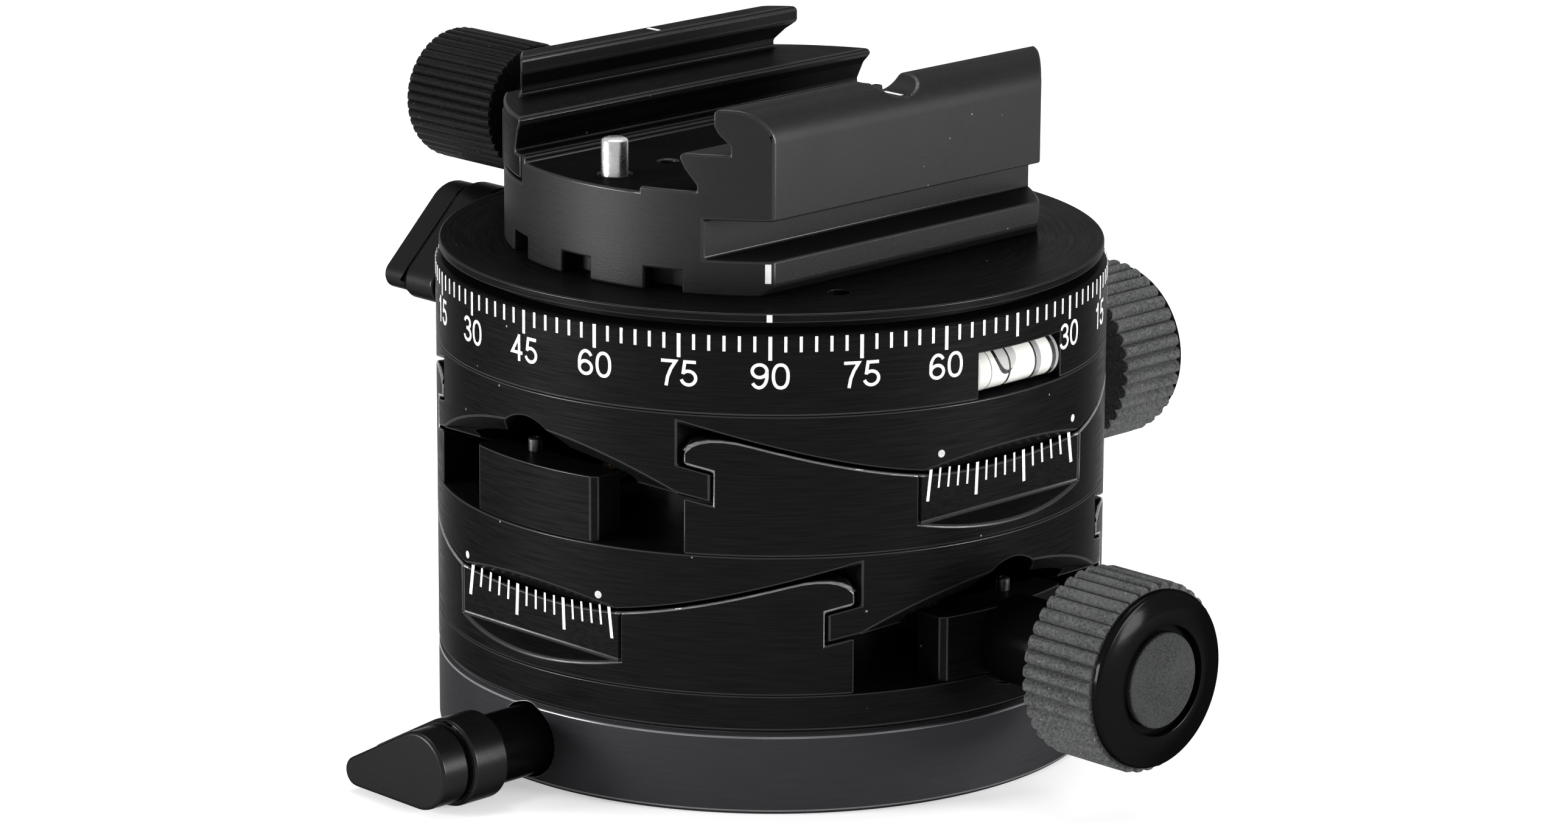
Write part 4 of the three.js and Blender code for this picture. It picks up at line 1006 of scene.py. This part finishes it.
def add_stage(prefix, floor, degrees, fixed, moving, knob):
    def place(obj, name, body, slot, finish, node_name=None, edge=None):
        nodes = [f"{prefix}_{node_name}"] if node_name else ()
        return dress(move(turn(obj, degrees), z=floor), f"{prefix}_{name}", body, slot, finish, nodes, edge)

    for side, end in ((-1, "near"), (1, "far")):
        plate = place(side_plate(side), f"side_plate_{end}", fixed, "black_anodised", turned_black,
                      f"plate_{end}", edge_worn_and_painted_highlight)
        # The lips' top outer edges take the lighter rim finish: a painted highlight, partly bare machined
        # metal
        finish_faces(plate, rim_bare_and_painted_highlight, lambda face, at: at.z > floor + RIM_HIGHLIGHT_LOW and on_rim(at), 1)
        place(tilt_marks(side), f"tilt_scale_{end}", fixed, "black_anodised", print_white)
    block = round_edges(end_block(NEAR_BORE), TURNED_BEVEL, radii=(BODY - GAP,))
    place(block, "knob_end_block", fixed, "black_anodised", turned_black, "knob_block", edge_worn_and_painted_highlight)
    block = round_edges(mirror(end_block(FAR_BORE), "X"), TURNED_BEVEL, radii=(BODY - GAP,))
    place(block, "face_end_block", fixed, "satin_black", turned_black, "face_block", edge_worn_and_painted_highlight)
    # The grub screws take the darker steel: painted shade in the notch
    place(grub(), "grub_screw_knob_end", fixed, "steel", steel_painted_shade, "knob_block_grub")
    place(mirror(grub(), "X"), "grub_screw_face_end", fixed, "steel", steel_painted_shade, "face_block_grub")
    place(carriage(), "arc_carriage", moving, "black_anodised", turned_black, "carriage", edge_worn_and_painted_highlight)
    sleeve = knob_grip(**GRIP, start=GRIP_START, end=GRIP_END)
    for piece, name, slot, finish, node_name in (
            (knob_hub(), "knob_core", "gloss_black", gloss_black, "knob_hub"),
            (sleeve, "knob_sleeve", "grip_rubber", grip_rubber, "knob_grip"),
            (knob_cap(), "knob_disc", "knob_cap", cap_grain, "knob_cap")):
        place(move(piece, z=SHAFT_HEIGHT), name, knob, slot, finish, node_name)


# The wing levers of the pan locks
PAN_LOCK = PAN + 3.95
SHAFT_START = BODY - 5.2
COLLAR_START = BODY + 6.9
COLLAR_END = COLLAR_START + 4.9
WING_END = COLLAR_END + 4.2
SHAFT_STEP = 0.3
WING_LENGTH = 10.5
WING_BEVEL = 0.42
WING_LAYERS = [
    Sizes(radius=4.87, tip=2.25, low=COLLAR_START, high=COLLAR_END),
    Sizes(radius=4.2, tip=1.55, low=COLLAR_END - 1, high=COLLAR_END + 0.9),
    Sizes(radius=4.35, tip=1.7, low=COLLAR_END + 0.35, high=WING_END),
]


def teardrop(radius, tip, angle, steps=40):
    lean = math.acos((radius - tip) / WING_LENGTH)
    end = (WING_LENGTH * math.cos(angle), WING_LENGTH * math.sin(angle))
    points = []
    for i in range(steps + 1):
        a = angle + lean + (TURN - 2 * lean) * i / steps
        points.append((radius * math.cos(a), radius * math.sin(a)))
    for i in range(steps // 2 + 1):
        a = angle - lean + 2 * lean * i / (steps // 2)
        points.append((end[0] + tip * math.cos(a), end[1] + tip * math.sin(a)))
    return points


def add_lock(prefix, body, height, degrees, shaft_radius, wing_angle):
    def set_up(obj):
        return move(turn(obj, degrees), z=height)

    thin = shaft_radius - SHAFT_STEP
    step = COLLAR_START - SHAFT_STEP
    shaft = lathe([(0, SHAFT_START), (shaft_radius, SHAFT_START), (shaft_radius, step - SHAFT_STEP),
                   (thin, step), (thin, COLLAR_START), (0, COLLAR_START)], MID)
    dress(set_up(smooth(to_x(shaft))), f"{prefix}_lever_shaft", body, "gloss_black", gloss_black,
          [f"{prefix}_lock_shaft"])
    angle = math.radians(wing_angle)
    layers = [prism(teardrop(layer.radius, layer.tip, angle), "x", layer.low, layer.high)
              for layer in WING_LAYERS]
    wing = round_edges(join(*layers), WING_BEVEL, segments=4)
    dress(set_up(wing), f"{prefix}_wing_lever", body, "satin_black", lever_black, [f"{prefix}_lock_lever"])


# The scale ring and its print. The scale's 90 and the index marks stand at 45 degrees, the level at 90
MARK_TURN = 45
LEVEL_NUMBER = 45
RING = Sizes(foot=0.15, bore=12, floor=1.7, round_by=0.85, round_steps=6, lock_bore=3.7,
             bevel=0.14)
PAN_TICK_STEP = 2.5
NUMBER_STEP = 15
PAN_TICK_TOP = SCALE_TOP - 0.25
LONG_PAN_TICK = Sizes(low=PAN + 6.2, half=0.2)
SHORT_PAN_TICK = Sizes(low=PAN + 7.1, half=0.16)
NUMBER_LOW = PAN + 3
NUMBER_HIGH = 2.95
LEVEL = Sizes(low=-5.5, high=7.8, depth=6.2, top=5.2, radius=2.4, sink=3, rise=0.25,
              chamfer=0.5)


def level_window(depth, low, top):
    return box((BODY - depth, LEVEL.low, low), (BODY + OVERRUN, LEVEL.high, top))


def add_pan_ticks():
    verts, faces = [], []
    for i in range(int(360 / PAN_TICK_STEP)):
        azimuth = i * PAN_TICK_STEP
        tick = SHORT_PAN_TICK if azimuth % NUMBER_STEP else LONG_PAN_TICK
        along = BODY * math.radians(azimuth + MARK_TURN)
        add_block(verts, faces, box_on_round(along, tick.half, tick.low, PAN_TICK_TOP))
    ticks = tidy_normals(new_object("pan_ticks", verts, faces))
    ticks = cut(ticks, level_window(1, PAN, PAN + LEVEL.top + FIT))
    dress(ticks, "pan_scale_ticks", "upper_stage", "black_anodised", print_white)


def oval(middle, size, start, end, steps=14, square=2.0):
    """Points of an oval arc between two angles. A power over 2 makes it squarer."""
    points = []
    for i in range(steps + 1):
        angle = math.radians(start + (end - start) * i / steps)
        c, d = math.cos(angle), math.sin(angle)
        points.append((middle[0] + size[0] * math.copysign(abs(c) ** (2 / square), c),
                       middle[1] + size[1] * math.copysign(abs(d) ** (2 / square), d)))
    return points


def flipped(paths):
    """The same strokes turned half round, as 9 is 6."""
    return [[(DIGIT_WIDTH_SHARE - x, 1 - y) for x, y in path] for path in paths]


# Strokes of the digits, as shares of their height
STROKE_SHARE = 0.12
ADVANCE_SHARE = 0.76
DIGIT_WIDTH_SHARE = 0.68
MITRE_SHARE = 0.5
SIX_SHARES = [
    oval((0.34, 0.31), (0.265, 0.235), 0, 360, 28)[:-1] + [(0.605, 0.31)],
    oval((0.36, 0.5), (0.285, 0.425), 38, 180, 16) + [(0.075, 0.34)],
]
DIGIT_SHARES = {
    "0": [oval((0.34, 0.5), (0.265, 0.425), 0, 360, 32, 2.3)],
    "1": [[(0.4, 0), (0.4, 1)], [(0.14, 0.765), (0.27, 0.785), (0.345, 0.85), (0.375, 0.97)]],
    "3": [oval((0.33, 0.725), (0.225, 0.2), 168, -80, 14), oval((0.33, 0.295), (0.265, 0.22), 84, -168, 18),
          [(0.25, 0.525), (0.38, 0.525)]],
    "4": [[(0.46, 0), (0.46, 1)], [(0.46, 0.93), (0.075, 0.315), (0.64, 0.315)]],
    "5": [[(0.6, 0.925), (0.19, 0.925), (0.125, 0.47)], oval((0.325, 0.33), (0.27, 0.255), 140, -165, 20)],
    "6": SIX_SHARES,
    "7": [[(0.06, 0.925), (0.61, 0.925), (0.43, 0.64), (0.31, 0.34), (0.25, 0)]],
    "9": flipped(SIX_SHARES),
}


def unit(start, end):
    length = math.dist(start, end)
    return (end[0] - start[0]) / length, (end[1] - start[1]) / length


def ribbon(path, width):
    """The two edges of a stroke along a path, with mitred corners."""
    closed = math.dist(path[0], path[-1]) < width / 10
    points = path[:-1] if closed else path
    count = len(points)
    left, right = [], []
    for i, (x, y) in enumerate(points):
        before = points[i - 1] if closed or i > 0 else None
        after = points[(i + 1) % count] if closed or i < count - 1 else None
        into = unit(before, (x, y)) if before else unit((x, y), after)
        out = unit((x, y), after) if after else into
        middle = (into[0] + out[0], into[1] + out[1])
        size = math.hypot(*middle)
        across = (-middle[1] / size, middle[0] / size)
        reach = width / 2 / max(MITRE_SHARE, across[0] * -into[1] + across[1] * into[0])
        left.append((x + across[0] * reach, y + across[1] * reach))
        right.append((x - across[0] * reach, y - across[1] * reach))
    return left, right, closed


def add_stroke(verts, faces, path, width):
    left, right, closed = ribbon(path, width)
    start, count = len(verts), len(left)
    verts += on_round(left + right, BODY)
    back = 2 * count
    for i in range(count if closed else count - 1):
        j = (i + 1) % count
        a, b, c, d = (start + k for k in (i, j, count + j, count + i))
        faces += [[a, b, c, d], [back + d, back + c, back + b, back + a],
                  [a, back + a, back + b, b], [c, back + c, back + d, d]]
    if not closed:
        for k in (0, count - 1):
            a, b = start + k, start + count + k
            faces.append([a, b, back + b, back + a])


def add_pan_numbers():
    """Numbers every 15 degrees, from 0 to 90 and back. The level takes the place of one."""
    verts, faces = [], []
    half_turn = 180 // NUMBER_STEP
    for k in range(1 - half_turn, half_turn + 1):
        azimuth = NUMBER_STEP * k
        if azimuth == LEVEL_NUMBER:
            continue
        text = str(abs(90 - abs(azimuth)))
        wide = ((len(text) - 1) * ADVANCE_SHARE + DIGIT_WIDTH_SHARE) * NUMBER_HIGH
        left = BODY * math.radians(azimuth + MARK_TURN) - wide / 2
        for place, digit in enumerate(text):
            at = left + place * ADVANCE_SHARE * NUMBER_HIGH
            for path in DIGIT_SHARES[digit]:
                stroke = [(at + x * NUMBER_HIGH, NUMBER_LOW + y * NUMBER_HIGH) for x, y in path]
                add_stroke(verts, faces, stroke, STROKE_SHARE * NUMBER_HIGH)
    numbers = tidy_normals(new_object("numbers", verts, faces))
    dress(numbers, "pan_scale_numbers", "upper_stage", "black_anodised", print_white)


def add_scale_ring():
    foot, bore, floor, recess = RING.foot, RING.bore, PAN + RING.floor, SPIGOT + GAP
    profile = [(bore, PAN), (BODY - foot, PAN), (BODY, PAN + foot),
               *round_corner(BODY, SCALE_TOP, RING.round_by, RING.round_steps),
               (recess, SCALE_TOP), (recess, floor), (bore, floor)]
    window = level_window(LEVEL.depth, PAN - OVERRUN, PAN + LEVEL.top)
    lock_bore = turn(drill(RING.lock_bore, BODY - LOCK_BORE_DEPTH, BODY + OVERRUN, PAN_LOCK), 180)
    ring = cut(lathe(profile, FINE, closed=True), window, lock_bore)
    ring = round_edges(ring, RING.bevel, radii=(BODY, recess))
    dress(ring, "scale_ring_body", "upper_stage", "black_anodised", turned_black, ["scale_ring"], edge_worn_and_painted_highlight)


# The spirit level: a clear tube with pale liquid, lines round it, and a bubble drawn in painted shade: a grey
# patch with a darker rim
BUBBLE_LEAN = math.radians(42)
BUBBLE_STEPS = 16
TUBE_LOW = LEVEL.low + 0.2
TUBE_HIGH = LEVEL.high - 0.1
LINE_SINK = 0.25
LINE_PROUD = 0.045
LEVEL_LINES = {
    "level_thin_line": (-3.3, 0.08, vial_grey),
    "level_line_left": (-0.45, 0.24, vial_dark_print_and_shade),
    "level_line_right": (3.65, 0.26, vial_dark_print_and_shade),
    "level_band": (4.2, 0.6, vial_grey),
    "level_end_ring": (6.55, 0.5, vial_dark_print_and_shade),
    "level_end_band": (7.05, 0.4, vial_grey),
}
# The bubble is painted shade: a grey patch on the tube, and a dark rim that shows round its lower side
BUBBLE_SHADE_RIM = {"at": -0.95, "half": 1.95, "reach": 2, "lift": 1.2, "proud": 0.015}
BUBBLE = {"at": -0.62, "half": 1.7, "reach": 1.75, "lift": 1.5, "proud": 0.03}


def along_level(obj):
    """Lays a body turned about Z along the level's tube."""
    return move(turn(obj, -90, "X"), BODY - LEVEL.sink, 0, PAN + LEVEL.radius + LEVEL.rise)


def add_bubble(name, finish, at, half, reach, lift, proud):
    """What an egg shape, moved outwards, shares with a rod a little larger than the tube."""
    turns = (math.pi * i / BUBBLE_STEPS for i in range(1, BUBBLE_STEPS))
    shape = [(0, at - half), *((reach * math.sin(a), at - half * math.cos(a)) for a in turns), (0, at + half)]
    egg = along_level(lathe(shape, SMALL))
    egg = move(egg, lift * math.cos(BUBBLE_LEAN), 0, lift * math.sin(BUBBLE_LEAN))
    low, high = TUBE_LOW + LEVEL.chamfer, TUBE_HIGH - LEVEL.chamfer
    shown = common(egg, along_level(rod(LEVEL.radius + proud, low, high)))
    dress(smooth(shown, 40), name, "upper_stage", "level_glass", finish)


def add_level():
    radius, chamfer = LEVEL.radius, LEVEL.chamfer
    glass = lathe([(0, TUBE_LOW), (radius - chamfer, TUBE_LOW), (radius, TUBE_LOW + chamfer),
                   (radius, TUBE_HIGH - chamfer), (radius - chamfer, TUBE_HIGH), (0, TUBE_HIGH)], MID)
    dress(smooth(along_level(glass), 60), "level_tube", "upper_stage", "level_glass", vial_pale,
          ["level_vial"])
    for name, (at, width, finish) in LEVEL_LINES.items():
        band = tube(radius - LINE_SINK, radius + LINE_PROUD, at - width / 2, at + width / 2)
        dress(smooth(along_level(band)), name, "upper_stage", "level_glass", finish)
    add_bubble("level_bubble_edge", vial_dark_print_and_shade, **BUBBLE_SHADE_RIM)
    add_bubble("level_bubble", vial_bubble_painted_shade, **BUBBLE)


# The top disc, which turns over the scale ring
TOP_DISC = Sizes(radius=BODY - 0.4, rim=0.12, bore=2.9, foot=PAN + 2.5, step=BODY - 2.7,
                 bevel=0.05, hole=1.2, hole_x=24.46, hole_y=-14.12)
DISC_MARK = Sizes(half=0.3, aside=0.1, inset=0.1)


def add_top_disc():
    edge, rim, bore, foot, step = TOP_DISC.radius, TOP_DISC.rim, TOP_DISC.bore, TOP_DISC.foot, TOP_DISC.step
    seat = SCALE_TOP + SEAM
    profile = [(bore, foot), (SPIGOT, foot), (SPIGOT, seat), (step, seat), (step, DISC_LOW),
               (edge - rim, DISC_LOW), (edge, DISC_LOW + rim), (edge, DISC_TOP - rim), (edge - rim, DISC_TOP),
               (bore, DISC_TOP)]
    hole = move(rod(TOP_DISC.hole, DISC_LOW - OVERRUN, DISC_TOP + OVERRUN, TINY), TOP_DISC.hole_x,
                TOP_DISC.hole_y)
    body = round_edges(cut(lathe(profile, FINE, closed=True), hole), TOP_DISC.bevel, radii=(edge,))
    dress(body, "top_disc_plate", "pan_top", "black_anodised", turned_black, ["top_disc"], edge_worn_and_painted_highlight)
    at, inset = edge * math.radians(MARK_TURN) - DISC_MARK.aside, DISC_MARK.inset
    mark = box_on_round(at, DISC_MARK.half, DISC_LOW + inset, DISC_TOP - inset, edge)
    mark = tidy_normals(new_object("mark", mark, BOX_FACES))
    dress(mark, "disc_index_mark", "pan_top", "black_anodised", print_white)


# The clamp: its round body, its channel and the hooks of its jaws
CLAMP = 29.8
FLAT = 21.3
SEAT = DISC_TOP + 8.3
FLOOR = DISC_TOP + 10.7
RAIL = DISC_TOP + 11.3
SCREW_HEIGHT = DISC_TOP + 8
WAIST = RAIL + 2.3
LEDGE_LOW = WAIST + 1.1
LEDGE = LEDGE_LOW + 0.7
UNDERCUT = LEDGE + 0.9
NECK = UNDERCUT + 1.3
TIP = NECK + 0.9
TOP = TIP + 1.8
HOOK_CHAMFER = 0.3
HOOK_FOOT = RAIL + 0.6
HOOK = Sizes(foot=14.6, waist=13.4, ledge=12.9, inner=17.7, neck=16.6, tip=16.2, shoulder=3.7)
MOVING_HOOK = Sizes(foot=12.9, waist=12.3, ledge=11.5, inner=19.6, neck=18.6, tip=17.6,
                    shoulder=2.6)
CLAMP_BEVEL = 0.28
CLAMP_CHAMFER = 1.2
SIDE_GROOVE = Sizes(low=DISC_TOP + 3.9, high=DISC_TOP + 8.2, floor=15.3)
CHANNEL = Sizes(left=-10, right=8.5, below=1, above=0.5)
UPWARD_SHARE = 0.9
RAIL_EDGE = 11
SLOT = Sizes(half=12.3, floor=DISC_TOP + 4.3)
SCREW_BORE = Sizes(radius=2.15, end=-6.4)
BOLT_POCKET = Sizes(radius=5.1, floor=DISC_TOP + 4.9)
SIDE_HOLE = Sizes(radius=1, y=16, depth=4)
GUIDE_BORE = Sizes(radius=1.8, y=8, end=-4.8)
SCALLOP = Sizes(radius=4.5, depth=1.55, start=HOOK.inner - 4)
CASTLE = Sizes(count=16, depth=2.5, half=2.2, height=2.45, first=60, lean=0.4)
PIN = Sizes(x=0.6, y=-24.6, radius=1.5, foot=FLOOR - 4.4, top=FLOOR + 4, travel=4)
PIN_WELL = DISC_TOP + 0.6
PIN_ROUND = [(0, 0.3), (0.08, 0.15), (0.35, 0)]
SPRING = Sizes(bore=0.9, radius=1.3)


def shoulder(hook, outer, steps=10):
    size = hook.shoulder
    return [(outer - size + size * math.sin(a), TOP - size + size * math.cos(a))
            for a in (math.pi / 2 * i / steps for i in range(steps + 1))]


def hook_outline(hook, outer):
    """The hooked side of a jaw from its foot to its top and over the shoulder, where x is positive."""
    ledge, tip, inner, chamfer = hook.ledge, hook.tip, hook.inner, HOOK_CHAMFER
    return [(hook.foot, HOOK_FOOT), (hook.waist, WAIST), (ledge, LEDGE_LOW), (ledge, LEDGE - chamfer),
            (ledge + chamfer, LEDGE), (inner, LEDGE), (inner, UNDERCUT), (hook.neck, NECK), (tip, TIP),
            (tip, TOP - chamfer), (tip + chamfer, TOP), *shoulder(hook, outer)]


def clamp_outline():
    left, right, depth = CHANNEL.left, CHANNEL.right, SIDE_GROOVE.floor
    return [(-CLAMP - OVERRUN, DISC_TOP), (FLAT - CLAMP_CHAMFER, DISC_TOP), (FLAT, DISC_TOP + CLAMP_CHAMFER),
            (FLAT, SIDE_GROOVE.low), (depth, SIDE_GROOVE.low), (depth, SIDE_GROOVE.high),
            (FLAT, SIDE_GROOVE.high), *hook_outline(HOOK, FLAT)[::-1], (HOOK.foot, RAIL), (right, RAIL),
            (right, FLOOR), (left, FLOOR), (left, RAIL), (-RAIL_EDGE, RAIL), (-RAIL_EDGE, SEAT),
            (-CLAMP - OVERRUN, SEAT)]


def castle_cuts():
    """The notches round the clamp's foot, but for its flat side."""
    low = (CLAMP - CASTLE.depth, -CASTLE.half, DISC_TOP - OVERRUN)
    high = (CLAMP + OVERRUN, CASTLE.half, DISC_TOP + CASTLE.height)
    angles = [360 * i / CASTLE.count for i in range(CASTLE.count)]
    return [turn(box(low, high), angle - CASTLE.lean) for angle in angles
            if min(angle, 360 - angle) >= CASTLE.first]


def add_clamp_base():
    span, above = CLAMP + OVERRUN, RAIL + OVERRUN
    body = prism(clamp_outline(), "y", -span, span)
    body = common(body, rod(CLAMP, DISC_TOP - OVERRUN, TOP + OVERRUN, FINE))
    slot = box((-span, -SLOT.half, SLOT.floor), (GAP - HOOK.foot, SLOT.half, SEAT + OVERRUN))
    tools = [slot, drill(SCREW_BORE.radius, -span, SCREW_BORE.end, SCREW_HEIGHT, SMALL),
             rod(BOLT_POCKET.radius, BOLT_POCKET.floor, above),
             move(rod(PIN.radius + FIT, PIN_WELL, above, SMALL), PIN.x, PIN.y)]
    for side in (-1, 1):
        hole = rod(SIDE_HOLE.radius, FLOOR - SIDE_HOLE.depth, above, TINY)
        tools.append(move(hole, 0, side * SIDE_HOLE.y))
    for side in (-1, 1):
        bore = drill(GUIDE_BORE.radius, -span, GUIDE_BORE.end, SCREW_HEIGHT, TINY)
        tools.append(move(bore, 0, side * GUIDE_BORE.y))
    tools.append(drill(SCALLOP.radius, SCALLOP.start, FLAT + OVERRUN,
                       TOP + SCALLOP.radius - SCALLOP.depth))
    body = round_edges(cut(body, *tools, *castle_cuts()), CLAMP_BEVEL, segments=3, radii=(CLAMP,))
    dress(body, "clamp_body", "pan_top", "satin_black", blasted_black, ["clamp_base"], edge_worn_and_painted_highlight)
    # The channel's floor and rail tops take the darker finish: painted shade between the jaws
    low, high = FLOOR - CHANNEL.below, RAIL + CHANNEL.above
    finish_faces(body, channel_painted_shade, lambda face, at: face.normal.z > UPWARD_SHARE and low < at.z < high)


# White marks on the clamp: an index bar over the flat's edge, and a line on each jaw
INDEX_BAR = Sizes(y=20.9, half=0.33, low=DISC_TOP + 1.5, high=DISC_TOP + 3.6)
SCALLOP_LINE = Sizes(start=HOOK.tip + 1, end=FLAT - 1.4, half=0.3, low=TOP - 1.57,
                     high=TOP - 1.53)
JAW_LINE = Sizes(start=-20, end=-18.2, half=0.25, low=TOP - 0.02, high=TOP + 0.03)


def add_line(name, body, line):
    low, high = (line.start, -line.half, line.low), (line.end, line.half, line.high)
    dress(box(low, high), name, body, "satin_black", print_white)


def add_clamp_marks():
    along = CLAMP * math.atan2(INDEX_BAR.y, FLAT)
    bar = box_on_round(along, INDEX_BAR.half, INDEX_BAR.low, INDEX_BAR.high, CLAMP)
    bar = tidy_normals(new_object("bar", bar, BOX_FACES))
    dress(bar, "clamp_index_bar", "pan_top", "satin_black", print_white)
    add_line("scallop_line", "pan_top", SCALLOP_LINE)
    add_line("jaw_line", "jaw", JAW_LINE)


# The movable jaw, with the boss that its screw goes through
JAW = Sizes(outer=22.6, half=31, round=27.9, bore=2.1, bore_start=-34)
BOSS = Sizes(outer=31.5, half=12, low=DISC_TOP + 4.6, high=DISC_TOP + 11.1)


def add_jaw():
    seat, outer, front = SEAT + GAP, JAW.outer, RAIL_EDGE + GAP
    outline = [(outer, seat), *hook_outline(MOVING_HOOK, outer)[::-1], (MOVING_HOOK.foot, RAIL),
               (front, RAIL), (front, seat)]
    bar = prism([(-x, z) for x, z in outline], "y", -JAW.half, JAW.half)
    lower = common(twin(bar), rod(CLAMP, SEAT, LEDGE, FINE))
    upper = common(bar, rod(JAW.round, SEAT, TOP + OVERRUN, FINE))
    boss = box((-BOSS.outer, -BOSS.half, BOSS.low), (-HOOK.foot, BOSS.half, BOSS.high))
    bore = drill(JAW.bore, JAW.bore_start, 0, SCREW_HEIGHT, SMALL)
    body = cut(join(lower, upper, boss), bore)
    body = round_edges(body, CLAMP_BEVEL, segments=3, radii=(JAW.round, CLAMP))
    dress(body, "movable_jaw_body", "jaw", "satin_black", jaw_black, ["movable_jaw"], edge_worn_and_painted_highlight)


# The clamp's knob and its safety pin
CLAMP_GRIP = {"radius": 7.65, "depth": 0.42, "ribs": 42, "bore": 3.8, "round_by": 0.6, "start": 38.6,
              "end": 52.9}
CLAMP_HUB = Sizes(start=31.6, collar=5, chamfer=0.2, core=3.6, seam=0.1, sunk=0.5)


def add_clamp_knob():
    def set_up(obj):
        return move(turn(obj, 180), z=SCREW_HEIGHT)

    dress(set_up(knob_grip(**CLAMP_GRIP)), "clamp_knob_sleeve", "clamp_knob", "grip_rubber", knob_black,
          ["clamp_knob_grip"])
    low, collar, chamfer, core = CLAMP_HUB.start, CLAMP_HUB.collar, CLAMP_HUB.chamfer, CLAMP_HUB.core
    seam, end = CLAMP_GRIP["start"] - CLAMP_HUB.seam, CLAMP_GRIP["end"] - CLAMP_HUB.sunk
    hub = lathe([(0, low), (collar - chamfer, low), (collar, low + chamfer), (collar, seam), (core, seam),
                 (core, end), (0, end)], MID)
    dress(set_up(smooth(to_x(hub))), "clamp_knob_hub", "clamp_knob", "gloss_black", gloss_black,
          ["clamp_knob_core"])


def add_stop_pin():
    """The safety pin, and its spring at the length that it has when the pin is down."""
    radius, foot, top = PIN.radius, PIN.foot, PIN.top
    end = [(radius - inward, top - down) for inward, down in PIN_ROUND]
    pin = lathe([(0, foot), (radius, foot), *end, (0, top)], SMALL)
    spring = tube(SPRING.bore, SPRING.radius, PIN_WELL + GAP, foot - PIN.travel - GAP)
    for piece, name, body, node_name in ((pin, "safety_pin", "stop_pin", "stop_pin"),
                                         (spring, "safety_pin_spring", "pan_top", "stop_pin_spring")):
        dress(smooth(move(piece, PIN.x, PIN.y)), name, body, "steel", steel, [node_name])


def finish_carried_nodes():
    """CAD nodes that stay in view take a finish by their slot."""
    finishes = {"steel": steel, "brass": brass, "gloss_black": gloss_black, "black_anodised": turned_black,
                "satin_black": blasted_black, "grip_rubber": grip_rubber, "knob_cap": cap_grain,
                "level_glass": vial_pale}
    slots = {row["node"]: row["material_slot"] for row in frame["record"]["subparts"]}
    for name, obj in frame["nodes"].items():
        obj.data.materials.clear()
        obj.data.materials.append(finishes[slots[name]])


LOWER_DOTS = [(-17.5, LOWER + 9.75), (15.6, LOWER + 9.9)]
UPPER_DOTS = [(90 - 15.7, UPPER + 10.33), (90 + 16.8, UPPER + 10.3)]

add_camera()
add_studio()
for lamp_name, lamp in LAMPS.items():
    add_lamp(lamp_name, **lamp)
finish_carried_nodes()
add_base()
add_stage("lower", LOWER, 0, "turntable", "lower_stage", "lower_knob")
add_stage("upper", UPPER, 90, "lower_stage", "upper_stage", "upper_knob")
add_dots("lower_stage", "lower_skirt_dots", LOWER_DOTS)
add_dots("upper_stage", "upper_skirt_dots", UPPER_DOTS)
add_lock("base", "base_lever", LOCK_HEIGHT, -90, shaft_radius=3.9, wing_angle=194)
add_lock("pan", "pan_lever", PAN_LOCK, 180, shaft_radius=3.4, wing_angle=-30)
add_scale_ring()
add_pan_ticks()
add_pan_numbers()
add_level()
add_top_disc()
add_clamp_base()
add_clamp_marks()
add_jaw()
add_clamp_knob()
add_stop_pin()
